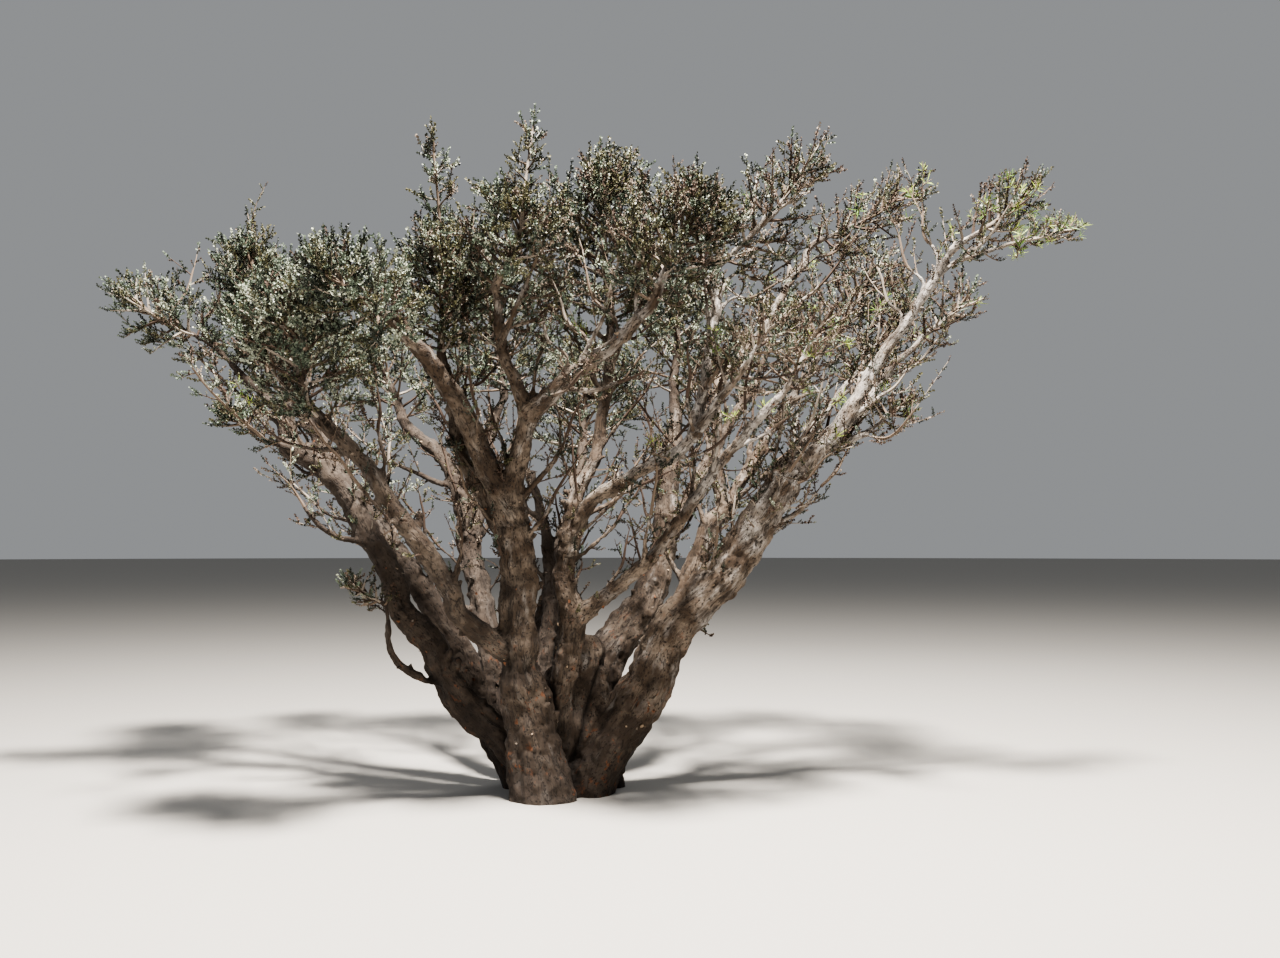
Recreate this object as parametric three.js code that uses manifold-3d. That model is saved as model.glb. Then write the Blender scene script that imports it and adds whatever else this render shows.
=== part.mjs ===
// A frankincense tree: one clump of stems that leave a short flared trunk and spread like a vase,
// each forking into boughs that carry masses of short leafy sprays.
// Millimetres, +Z up. The origin is on the flat cut at ground level, in the middle of the trunk.
// Bearings are degrees in plan, 0 along +X and 90 along +Y. Leans are degrees from upright.

import * as THREE from "three";
import { mergeVertices } from "three/addons/utils/BufferGeometryUtils.js";
import Module from "manifold-3d";

const wasm = await Module();
wasm.setup();

// Trunk and limbs
const TRUNK_RISE = 560; // length of each stem that is fused into the trunk
const BURIED = 90; // how far each stem's line starts below the ground cut
// The block that the stems leave: [radius, height] of its foot, waist and brow, and its top's height.
const STOCK = { foot: [290, 0], waist: [305, 130], brow: [350, 400], top: 560, off: -50 };
const FLARE = { swell: 0.36, fade: 190 }; // a stem's extra girth at the ground, and how fast it fades
const COLLAR = { swell: 0.35, fade: 1.6 }; // a bough's extra girth at its fork, fading in foot radii
const GAP = 0.3; // clear gap where two pieces meet
const RING_STEP = 320; // spacing of the rings along a limb
const STOCK_SIDES = 20;
const STEM_SIDES = 10;
const BOUGH_SIDES = 8;
const THIN_SIDES = 6;
const THIN_GIRTH = 45; // a bough whose foot radius is under this is thin

// Foliage
const STALK = { foot: 0.85, tip: 12, reach: 0.76 }; // a mass's stem: radii, and its share of the reach
const TWIG = { foot: 0.8, tip: 8, sides: 3, first: 0.16 }; // foot: share of its stem's radius there
const TWIG_COUNT = { least: 4, step: 330 }; // twigs in a space: one more for each step of its reach
const SPREAD = { low: 82, high: 36, jitter: 12 }; // lean of the lowest and highest twigs off the stem
const SPRAY = { length: 340, width: 0.5, thick: 0.24, share: 0.5 }; // share: most of its space's width
const SIDE_SPRAY = { at: [0.7, 0.38], lean: 52, size: 0.86 }; // sprays beside the one at a twig's end
const SUNK = { end: 0.14, side: 0.02 }; // share of a spray's length that is sunk past its twig's line
const CLEAR = { limb: 14, mass: 0.03, spray: 0.42 }; // room left to limbs, spaces and other sprays
const GOLDEN_TURN = 137.5;
const SEED = 11;

// A stem springs from the ground at foot [bearing, distance]. Girth is its radius at foot and tip.
// Legs are the stretches of its course: [bearing, lean, length].
const STEMS = {
  front_stem: {
    foot: [237, 255],
    girth: [178, 92],
    legs: [[202, 10, 640], [231, 15, 400], [277, 12, 590], [241, 13, 300]],
  },
  centre_stem: {
    foot: [243, 112],
    girth: [108, 62],
    legs: [[225, 3, 590], [325, 13, 600], [200, 12, 310], [300, 14, 330]],
  },
  left_outer_stem: {
    foot: [201, 139],
    girth: [115, 66],
    legs: [
      [182, 33, 520],
      [178, 47, 460],
      [173, 26, 360],
      [171, 46, 280],
      [164, 18, 240],
      [170, 30, 670],
      [177, 55, 520],
    ],
  },
  left_inner_stem: {
    foot: [150, 300],
    girth: [112, 46],
    legs: [[172, 29, 760], [162, 24, 410], [168, 35, 810], [160, 44, 330], [160, 36, 1000]],
  },
  inner_stem: {
    foot: [124, 216],
    girth: [88, 28],
    legs: [[113, 16, 620], [88, 15, 410], [75, 15, 390], [115, 19, 450], [119, 24, 480]],
  },
  back_left_stem: {
    foot: [135, 350],
    girth: [112, 50],
    legs: [[140, 27, 700], [132, 22, 430], [119, 27, 580], [131, 27, 810], [149, 50, 400]],
  },
  back_stem: {
    foot: [102, 277],
    girth: [128, 50],
    legs: [[114, 23, 950], [80, 32, 580], [80, 41, 770], [79, 31, 400]],
  },
  back_right_stem: {
    foot: [57, 240],
    girth: [165, 48],
    legs: [
      [70, 10, 620],
      [37, 19, 370],
      [21, 40, 350],
      [48, 30, 290],
      [63, 20, 430],
      [78, 27, 900],
    ],
  },
  right_stem: {
    foot: [315, 30],
    girth: [172, 112],
    legs: [[0, 31, 480], [0, 35, 400], [0, 23, 390], [355, 43, 560], [349, 34, 730]],
  },
};

// A bough springs from another limb at a share of that limb's length.
const BOUGHS = {
  front_left_bough: {
    from: "front_stem",
    at: 0.99,
    girth: [80, 46],
    legs: [[219, 30, 440], [232, 36, 350], [227, 46, 500]],
  },
  front_left_riser: {
    from: "front_stem",
    at: 0.84,
    girth: [62, 34],
    legs: [[187, 28, 545], [202, 26, 310], [240, 18, 420]],
  },
  front_mid_limb: {
    from: "front_stem",
    at: 0.97,
    girth: [70, 58],
    legs: [[278, 22, 330], [306, 26, 400]],
  },
  front_right_bough: {
    from: "front_mid_limb",
    at: 0.97,
    girth: [54, 36],
    legs: [[335, 58, 260], [336, 50, 620]],
  },
  front_top_bough: {
    from: "front_mid_limb",
    at: 0.94,
    girth: [44, 30],
    legs: [[210, 22, 420], [250, 14, 300]],
  },
  left_bough: {
    from: "front_stem",
    at: 0.5,
    girth: [82, 44],
    legs: [[213, 52, 500], [220, 29, 220], [213, 37, 800], [207, 42, 460]],
  },
  left_tip_bough: {
    from: "left_outer_stem",
    at: 0.99,
    girth: [42, 22],
    legs: [[180, 18, 300], [187, 46, 380]],
  },
  left_rise_bough: {
    from: "left_outer_stem",
    at: 0.96,
    girth: [44, 24],
    legs: [[154, 21, 260], [137, 11, 300]],
  },
  left_spur: {
    from: "left_outer_stem",
    at: 0.95,
    girth: [28, 17],
    legs: [[232, 74, 210], [217, 66, 120]],
  },
  low_spur: {
    from: "left_outer_stem",
    at: 0.29,
    girth: [36, 18],
    legs: [[195, 57, 520], [205, 12, 290]],
  },
  centre_riser: {
    from: "centre_stem",
    at: 0.97,
    girth: [54, 34],
    legs: [[50, 16, 300], [25, 27, 330], [60, 10, 700]],
  },
  centre_right_bough: {
    from: "centre_stem",
    at: 0.92,
    girth: [52, 32],
    legs: [[322, 38, 420], [330, 64, 660], [322, 47, 400]],
  },
  right_top_bough: {
    from: "centre_right_bough",
    at: 0.82,
    girth: [38, 26],
    legs: [[20, 12, 380], [60, 10, 500]],
  },
  brown_bough: {
    from: "centre_stem",
    at: 0.66,
    girth: [50, 28],
    legs: [[334, 52, 690], [341, 37, 620], [341, 44, 640]],
  },
  right_main_bough: {
    from: "right_stem",
    at: 0.985,
    girth: [66, 24],
    legs: [[353, 43, 480], [341, 33, 640], [338, 35, 620]],
  },
  right_tip_bough: {
    from: "right_main_bough",
    at: 0.93,
    girth: [24, 13],
    legs: [[15, 56, 240], [11, 68, 260]],
  },
  right_low_bough: {
    from: "right_stem",
    at: 0.97,
    girth: [50, 22],
    legs: [[9, 47, 620], [7, 37, 430], [11, 42, 250]],
  },
  right_spur: {
    from: "right_low_bough",
    at: 0.3,
    girth: [32, 18],
    legs: [[335, 68, 240], [338, 55, 110]],
  },
  right_inner_bough: {
    from: "right_stem",
    at: 0.93,
    girth: [48, 26],
    legs: [[33, 30, 400], [29, 42, 500]],
  },
  right_fork_limb: {
    from: "right_stem",
    at: 0.55,
    girth: [82, 64],
    legs: [[48, 25, 620], [28, 46, 240]],
  },
  fork_left_bough: {
    from: "right_fork_limb",
    at: 0.98,
    girth: [46, 24],
    legs: [[165, 10, 350], [20, 2, 530], [0, 38, 500], [0, 29, 500]],
  },
  fork_right_bough: {
    from: "right_fork_limb",
    at: 0.96,
    girth: [46, 26],
    legs: [[37, 36, 340], [35, 37, 870], [24, 38, 240]],
  },
  back_right_bough: {
    from: "back_right_stem",
    at: 0.62,
    girth: [56, 34],
    legs: [[40, 36, 700], [44, 40, 700]],
  },
  back_left_riser: {
    from: "back_left_stem",
    at: 0.6,
    girth: [56, 34],
    legs: [[80, 14, 600], [60, 20, 600]],
  },
};

// A mass of foliage grows on from the tip of the bough that it is on. Its space is an ellipsoid
// that starts at that tip: grows is its [bearing, lean, reach] and spread its width. A leader is
// a slender shoot in a space of its own, [bearing, lean, reach, width], that tops the mass.
const MASSES = {
  left_tip_leaves: { on: "left_tip_bough", grows: [188, 57, 950], spread: 540 },
  left_rise_leaves: { on: "left_rise_bough", grows: [196, 17, 1000], spread: 800 },
  left_spur_leaves: { on: "left_spur", grows: [218, 61, 330], spread: 300 },
  left_mid_leaves: { on: "left_bough", grows: [250, 30, 900], spread: 820 },
  left_inner_leaves: { on: "left_inner_stem", grows: [138, 28, 1180], spread: 950 },
  front_left_leaves: { on: "front_left_bough", grows: [240, 70, 880], spread: 680 },
  riser_leaves: {
    on: "front_left_riser",
    grows: [275, 11, 940],
    spread: 720,
    leader: [200, 6, 780, 250],
  },
  front_top_leaves: {
    on: "front_top_bough",
    grows: [300, 33, 720],
    spread: 780,
    leader: [60, 12, 640, 230],
  },
  centre_top_leaves: { on: "centre_riser", grows: [258, 13, 1275], spread: 920 },
  front_right_leaves: { on: "front_right_bough", grows: [321, 39, 900], spread: 820 },
  centre_right_leaves: { on: "centre_right_bough", grows: [327, 40, 700], spread: 560 },
  right_top_leaves: { on: "right_top_bough", grows: [356, 36, 1190], spread: 560 },
  brown_leaves: { on: "brown_bough", grows: [345, 34, 700], spread: 540 },
  fork_left_leaves: { on: "fork_left_bough", grows: [350, 57, 1030], spread: 520 },
  fork_right_leaves: { on: "fork_right_bough", grows: [30, 37, 1010], spread: 880 },
  right_inner_leaves: { on: "right_inner_bough", grows: [24, 41, 900], spread: 560 },
  right_main_leaves: { on: "right_main_bough", grows: [347, 50, 800], spread: 440 },
  right_tip_leaves: { on: "right_tip_bough", grows: [10, 77, 600], spread: 300 },
  right_low_leaves: { on: "right_low_bough", grows: [14, 47, 680], spread: 480 },
  right_spur_leaves: { on: "right_spur", grows: [334, 51, 310], spread: 300 },
  low_spur_leaves: { on: "low_spur", grows: [195, 47, 360], spread: 240 },
  back_right_leaves: { on: "back_right_stem", grows: [80, 16, 1200], spread: 1080 },
  back_fork_leaves: { on: "back_right_bough", grows: [46, 34, 1080], spread: 1020 },
  back_leaves: { on: "back_stem", grows: [88, 34, 1280], spread: 1180 },
  back_left_leaves: { on: "back_left_stem", grows: [138, 38, 1150], spread: 1060 },
  back_riser_leaves: { on: "back_left_riser", grows: [120, 10, 1180], spread: 1080 },
};

const degrees = THREE.MathUtils.degToRad;

// A repeatable run of numbers from 0 to 1.
const seeded = (seed) => () => {
  seed = (seed + 0x6d2b79f5) | 0;
  let t = Math.imul(seed ^ (seed >>> 15), 1 | seed);
  t = (t + Math.imul(t ^ (t >>> 7), 61 | t)) ^ t;
  return ((t ^ (t >>> 14)) >>> 0) / 4294967296;
};

function heading(bearing, lean) {
  const [b, l] = [degrees(bearing), degrees(lean)];
  return new THREE.Vector3(Math.sin(l) * Math.cos(b), Math.sin(l) * Math.sin(b), Math.cos(l));
}

// The direction that leaves another one by so many degrees, on the side given by turn.
function turnedOff(direction, lean, turn) {
  const side = new THREE.Vector3(0, 0, 1).cross(direction);
  if (side.lengthSq() < 1e-6) side.set(1, 0, 0);
  side.normalize().applyAxisAngle(direction, degrees(turn));
  return direction.clone().applyAxisAngle(side, degrees(lean));
}

// A line through some points, with its radius at each length.
function lineThrough(points, [foot, tip], swell = () => 0) {
  const curve = new THREE.CatmullRomCurve3(points, false, "catmullrom", 0.5);
  const length = curve.getLength();
  const share = (along) => THREE.MathUtils.clamp(along / length, 0, 1);
  return {
    length,
    at: (along) => curve.getPointAt(share(along)),
    heading: (along) => curve.getTangentAt(share(along)),
    radius: (along) => foot + (tip - foot) * share(along) + swell(along, foot),
  };
}

function pointsOf(start, legs) {
  const points = [start.clone()];
  for (const [bearing, lean, length] of legs) {
    points.push(points.at(-1).clone().addScaledVector(heading(bearing, lean), length));
  }
  return points;
}

function trunkSwell(along, foot) {
  return foot * FLARE.swell * Math.exp(-Math.max(0, along - BURIED) / FLARE.fade);
}

function collarSwell(along, foot) {
  return foot * COLLAR.swell * Math.exp(-along / (foot * COLLAR.fade));
}

function limbLines() {
  const lines = {};
  for (const [name, stem] of Object.entries(STEMS)) {
    const [bearing, distance] = stem.foot;
    const start = heading(bearing, 90).multiplyScalar(distance).setZ(-BURIED);
    lines[name] = lineThrough(pointsOf(start, stem.legs), stem.girth, trunkSwell);
  }
  for (const [name, bough] of Object.entries(BOUGHS)) {
    const parent = lines[bough.from];
    const start = parent.at(parent.length * bough.at);
    lines[name] = lineThrough(pointsOf(start, bough.legs), bough.girth, collarSwell);
  }
  return lines;
}

function solid(geometry) {
  geometry.deleteAttribute("normal");
  geometry.deleteAttribute("uv");
  const merged = mergeVertices(geometry, 1e-3);
  return new wasm.Manifold(
    new wasm.Mesh({
      numProp: 3,
      vertProperties: merged.getAttribute("position").array,
      triVerts: new Uint32Array(merged.index.array),
    }),
  );
}

// The largest body of a solid: a cut can leave a loose scrap, which is dropped.
function largest(shape) {
  return shape.decompose().reduce((a, b) => (a.volume() > b.volume() ? a : b));
}

// A cylinder bent along a line from one length to another, with every side grown outwards by grow.
function tube(line, from, to, sides, grow = 0, step = RING_STEP) {
  const steps = Math.max(1, Math.round((to - from) / step));
  const geometry = new THREE.CylinderGeometry(1, 1, 1, sides, steps);
  const position = geometry.getAttribute("position");
  const rings = [];
  let across = new THREE.Vector3(0, 1, 0).cross(line.heading(from)).normalize();
  for (let k = 0; k <= steps; k++) {
    const along = from + ((to - from) * k) / steps;
    const ahead = line.heading(along);
    across = across.clone().addScaledVector(ahead, -across.dot(ahead)).normalize();
    const end = (k === steps ? grow : 0) - (k === 0 ? grow : 0);
    rings.push({
      centre: line.at(along).addScaledVector(ahead, end),
      across,
      beside: ahead.clone().cross(across),
      radius: line.radius(along) + grow,
    });
  }
  for (let i = 0; i < position.count; i++) {
    const ring = rings[Math.round((position.getY(i) + 0.5) * steps)];
    const point = ring.centre.clone();
    point.addScaledVector(ring.across, position.getZ(i) * ring.radius);
    point.addScaledVector(ring.beside, position.getX(i) * ring.radius);
    position.setXYZ(i, point.x, point.y, point.z);
  }
  return solid(geometry);
}

// An ellipsoid of revolution from a foot along an axis. Depth is 0 at its centre and 1 at its skin.
function ellipsoid(foot, axis, reach, spread) {
  const centre = foot.clone().addScaledVector(axis, reach / 2);
  const scaled = (v) => {
    const along = v.dot(axis);
    const across = v.clone().addScaledVector(axis, -along);
    return across.divideScalar(spread / 2).addScaledVector(axis, along / (reach / 2));
  };
  return {
    axis,
    reach,
    spread,
    depth: (point) => scaled(point.clone().sub(centre)).length(),
    exit: (point, direction) => {
      const [p, d] = [scaled(point.clone().sub(centre)), scaled(direction)];
      const [a, b, c] = [d.lengthSq(), p.dot(d), p.lengthSq() - 1];
      return (-b + Math.sqrt(Math.max(0, b * b - a * c))) / a;
    },
  };
}

// Each mass's own spaces: the ellipsoid that it fills and, where it has one, its leader's.
function spacesOf(mass, bough) {
  const tip = bough.at(bough.length);
  const [bearing, lean, reach] = mass.grows;
  const spaces = [ellipsoid(tip, heading(bearing, lean), reach, mass.spread)];
  if (mass.leader) {
    const [turn, tilt, rise, width] = mass.leader;
    const foot = tip.clone().addScaledVector(spaces[0].axis, reach * STALK.reach);
    spaces.push(ellipsoid(foot, heading(turn, tilt), rise, width));
  }
  return spaces;
}

const lines = limbLines();
const spaces = {};
for (const [name, mass] of Object.entries(MASSES)) spaces[name] = spacesOf(mass, lines[mass.on]);

const depthIn = (name, point) => Math.min(...spaces[name].map((space) => space.depth(point)));

// Whether a point lies in a mass's own space, nearer its middle than any other mass's.
function owns(name, point) {
  const depth = depthIn(name, point);
  if (depth > 1) return false;
  const others = Object.keys(spaces).filter((other) => other !== name);
  return others.every((other) => depthIn(other, point) > depth + CLEAR.mass);
}

const limbMarks = Object.values(lines).flatMap((line) => {
  const count = Math.ceil(line.length / 60);
  return Array.from({ length: count + 1 }, (_, k) => {
    const along = (line.length * k) / count;
    return { point: line.at(along), radius: line.radius(along) };
  });
});

const clearOfLimbs = (point) =>
  limbMarks.every((mark) => mark.point.distanceTo(point) > mark.radius + CLEAR.limb);

// A spray: an octahedron drawn out along its direction, its root sunk back into its twig.
function spray(root, direction, length, turn) {
  const geometry = new THREE.OctahedronGeometry(0.5);
  geometry.scale(length * SPRAY.width, length, length * SPRAY.thick);
  geometry.rotateY(degrees(turn));
  const up = new THREE.Vector3(0, 1, 0);
  geometry.applyQuaternion(new THREE.Quaternion().setFromUnitVectors(up, direction));
  const middle = root.clone().addScaledVector(direction, length / 2);
  geometry.translate(middle.x, middle.y, middle.z);
  return geometry;
}

function cornersOf(geometry) {
  const position = geometry.getAttribute("position");
  const corner = (_, i) => new THREE.Vector3().fromBufferAttribute(position, i);
  return Array.from({ length: position.count }, corner);
}

// Adds a spray to a growth if it stays in the mass's space, clear of every limb and other spray.
function addSpray(growth, foot, direction, length, turn, sunk) {
  const root = foot.clone().addScaledVector(direction, -length * sunk);
  const geometry = spray(root, direction, length, turn);
  const middle = root.clone().addScaledVector(direction, length / 2);
  const apart = growth.middles.every((other) => other.distanceTo(middle) > length * CLEAR.spray);
  const fits = (corner) => owns(growth.name, corner) && clearOfLimbs(corner);
  if (!apart || !cornersOf(geometry).every(fits)) return false;
  growth.middles.push(middle);
  growth.pieces.push(solid(geometry));
  return true;
}

// Grows a twig from a point on a stem, with a spray at its end and more beside it.
function addTwig(growth, space, foot, direction, girth, random) {
  const size = Math.min(SPRAY.length, space.spread * SPRAY.share) * (0.88 + 0.24 * random());
  const length = space.exit(foot, direction) * (0.94 + 0.05 * random()) - size * (1 - SUNK.end);
  const turn = 360 * random();
  if (length < size * 0.2) {
    addSpray(growth, foot, direction, size, turn, SUNK.side);
    return;
  }
  const end = foot.clone().addScaledVector(direction, length);
  const middle = foot.clone().lerp(end, 0.5);
  if (![middle, end].every((point) => owns(growth.name, point) && clearOfLimbs(point))) return;
  if (!addSpray(growth, end, direction, size, turn, SUNK.end)) return;
  const line = lineThrough([foot, end], [girth, TWIG.tip]);
  growth.pieces.push(tube(line, 0, length, TWIG.sides, 0, length));
  SIDE_SPRAY.at.forEach((share, k) => {
    const lean = turnedOff(direction, SIDE_SPRAY.lean, turn + 180 * k);
    addSpray(growth, foot.clone().lerp(end, share), lean, size * SIDE_SPRAY.size, turn, SUNK.side);
  });
}

// Grows a stem in one of a mass's spaces, with twigs round it and a spray at its tip.
function addStem(growth, space, stem, random) {
  growth.pieces.push(tube(stem, 0, stem.length, TWIG.sides + 1));
  const start = 360 * random();
  const tip = stem.at(stem.length);
  const room = (space.exit(tip, space.axis) * 0.99) / (1 - SUNK.end);
  addSpray(growth, tip, space.axis, room, start, SUNK.end);
  const count = TWIG_COUNT.least + Math.round(space.reach / TWIG_COUNT.step);
  for (let k = 0; k < count; k++) {
    const share = 1 - (k + 0.5) / count;
    const along = stem.length * (TWIG.first + (1 - TWIG.first) * share);
    const even = THREE.MathUtils.lerp(SPREAD.low, SPREAD.high, share);
    const lean = even + SPREAD.jitter * (2 * random() - 1);
    const direction = turnedOff(stem.heading(along), lean, start + k * GOLDEN_TURN);
    addTwig(growth, space, stem.at(along), direction, stem.radius(along) * TWIG.foot, random);
  }
}

const sidesOf = (limb) => (limb.girth[0] < THIN_GIRTH ? THIN_SIDES : BOUGH_SIDES);

const root = new THREE.Group();
const colours = {
  bark: new THREE.MeshStandardMaterial({ color: 0x8a7763, roughness: 0.92, metalness: 0 }),
  leaves: new THREE.MeshStandardMaterial({ color: 0x5f6a50, roughness: 0.8, metalness: 0 }),
};

function addMesh(name, shape, material) {
  const mesh = shape.getMesh();
  const geometry = new THREE.BufferGeometry();
  geometry.setAttribute("position", new THREE.BufferAttribute(mesh.vertProperties, 3));
  geometry.setIndex(new THREE.BufferAttribute(mesh.triVerts, 1));
  geometry.computeVertexNormals();
  const node = new THREE.Mesh(geometry, material);
  node.name = name;
  root.add(node);
}

const grown = []; // every limb placed so far, grown by the gap

function cutClear(shape) {
  const reach = shape.boundingBox();
  const meets = ({ box }) => [0, 1, 2].every((k) => box.min[k] < reach.max[k] && box.max[k] > reach.min[k]);
  return largest(grown.filter(meets).reduce((left, other) => left.subtract(other.shape), shape));
}

function placeLimb(name, make) {
  addMesh(name, cutClear(make(0)), colours.bark);
  const fat = make(GAP);
  grown.push({ shape: fat, box: fat.boundingBox() });
}

function trunkShape(grow) {
  const wide = ([radius, height]) => [radius + grow, height];
  const profile = [
    [0, -BURIED],
    wide([STOCK.foot[0], -BURIED]),
    wide(STOCK.foot),
    wide(STOCK.waist),
    wide(STOCK.brow),
    [0, STOCK.top + grow],
  ];
  const outline = profile.map(([x, y]) => new THREE.Vector2(x, y));
  const stock = new THREE.LatheGeometry(outline, STOCK_SIDES);
  stock.rotateX(Math.PI / 2);
  stock.translate(STOCK.off, 0, 0);
  let shape = solid(stock);
  for (const name of Object.keys(STEMS)) {
    shape = shape.add(tube(lines[name], 0, TRUNK_RISE + BURIED, STEM_SIDES, grow));
  }
  return shape.trimByPlane([0, 0, 1], 0);
}

function massShape(name, mass, index) {
  const random = seeded(SEED + index);
  const bough = lines[mass.on];
  const [space, top] = spaces[name];
  const ahead = bough.heading(bough.length);
  const foot = bough.at(bough.length).addScaledVector(ahead, GAP);
  const girth = [bough.radius(bough.length) * STALK.foot, STALK.tip];
  const on = (share) => foot.clone().addScaledVector(space.axis, space.reach * share);
  const bend = foot.clone().addScaledVector(ahead, space.reach * 0.14);
  const stem = lineThrough([foot, bend, on(0.45), on(STALK.reach)], girth);
  const growth = { name, pieces: [], middles: [] };
  addStem(growth, space, stem, random);
  if (top) {
    const end = on(STALK.reach).addScaledVector(top.axis, top.reach * 0.8);
    addStem(growth, top, lineThrough([on(STALK.reach), end], [STALK.tip, TWIG.tip]), random);
  }
  return wasm.Manifold.union(growth.pieces);
}

placeLimb("trunk", trunkShape);
for (const name of Object.keys(STEMS)) {
  const start = TRUNK_RISE + BURIED + GAP;
  placeLimb(name, (grow) => tube(lines[name], start, lines[name].length, STEM_SIDES, grow));
}
for (const [name, bough] of Object.entries(BOUGHS)) {
  placeLimb(name, (grow) => tube(lines[name], 0, lines[name].length, sidesOf(bough), grow));
}
Object.entries(MASSES).forEach(([name, mass], index) => {
  addMesh(name, cutClear(massShape(name, mass, index)), colours.leaves);
});

export default root;
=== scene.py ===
"""The looks of a frankincense tree: relief of bark, twigs, leafy shoots, fresh tufts and flakes.

Metres, +Z up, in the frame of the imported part. The tables are in millimetres and degrees, as on a
drawing: bearings are in plan, 0 along +X and 90 along +Y, and leans are from upright.
"""

from __future__ import annotations

import logging
import math
import random
from dataclasses import dataclass, field, replace
from enum import Enum

import bmesh
import bpy
import numpy as np
from bmesh.types import BMEdge, BMesh, BMVert
from bpy.types import Material, Mesh, Node, NodeSocket, Object
from mathutils import Matrix, Vector
from mathutils.bvhtree import BVHTree

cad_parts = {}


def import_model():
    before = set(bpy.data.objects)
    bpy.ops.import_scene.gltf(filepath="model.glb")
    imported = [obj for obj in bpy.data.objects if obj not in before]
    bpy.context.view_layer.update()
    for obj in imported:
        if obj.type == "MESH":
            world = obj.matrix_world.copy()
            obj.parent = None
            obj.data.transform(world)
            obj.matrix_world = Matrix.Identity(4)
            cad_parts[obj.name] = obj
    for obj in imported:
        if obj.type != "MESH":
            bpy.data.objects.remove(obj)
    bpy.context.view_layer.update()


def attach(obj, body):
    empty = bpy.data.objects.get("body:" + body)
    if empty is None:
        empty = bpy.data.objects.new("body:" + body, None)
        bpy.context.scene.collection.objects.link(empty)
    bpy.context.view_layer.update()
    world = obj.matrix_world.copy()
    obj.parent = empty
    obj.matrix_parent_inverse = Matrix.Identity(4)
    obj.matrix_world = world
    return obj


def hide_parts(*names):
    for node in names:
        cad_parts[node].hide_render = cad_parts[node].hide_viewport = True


log = logging.getLogger("frankincense_tree")

MM = 0.001
GOLDEN_TURN = 137.5
NEARLY_NOTHING = 1e-6
SIDES = ("trunk", "middle", "left", "right", "back")
UP = np.array([0.0, 0.0, 1.0])
# Whole numbers that scatter the cells of the noise, and the shifts and factors that mix them.
SCATTER = (73856093, 19349663, 83492791)
SEED_SCATTER = 40503
MIXERS = ((13, 1274126177), (15, 2246822519))

Dice = random.Random
Array = np.ndarray
Pair = tuple[float, float]
Triple = tuple[float, float, float]
Frames = tuple[Array, Array, Array, Array]


class Dress(Enum):
    """How thickly a mass of foliage is leafed, and in what."""

    FULL = "full"
    DENSE = "dense"
    LEAFY = "leafy"
    OPEN = "open"
    INNER = "inner"
    SPRIGGY = "spriggy"
    FRESH = "fresh"


class Tone(Enum):
    """The plain colours that are dealt out to the shoots, spray by spray."""

    GREY_GREEN = 0
    # Pale hairy leaves, and partly a painted highlight of sunlit leaves.
    PALE = 1
    OLIVE = 2
    # A near-black tone: dark leaves, darker than any leaf, as painted shade in the foliage.
    DEEP = 3
    DRY = 4
    DUSTY = 5


class Region(Enum):
    """The parts of the crown whose small pieces are joined."""

    LEFT = "left"
    FRONT = "front"
    MIDDLE = "middle"
    BACK = "back"
    FAR_LEFT = "far_left"
    RIGHT = "right"
    FAR_RIGHT = "far_right"


@dataclass(frozen=True)
class Limb:
    """A stem or bough, in millimetres and degrees.

    A stem springs from the ground at (bearing, distance). A bough springs from (parent, share of
    the parent's length). Girth is the radius at foot and tip, and legs are the stretches of the
    course, each (bearing, lean, length).
    """

    side: str
    springs: Pair | tuple[str, float]
    girth: Pair
    legs: tuple[Triple, ...]


@dataclass(frozen=True)
class Mass:
    """A mass of foliage on a bough's tip: grows is (bearing, lean, reach), leader adds a width."""

    on: str
    grows: Triple
    spread: float
    region: Region
    dress: Dress = Dress.LEAFY
    leader: tuple[float, float, float, float] | None = None


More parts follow.
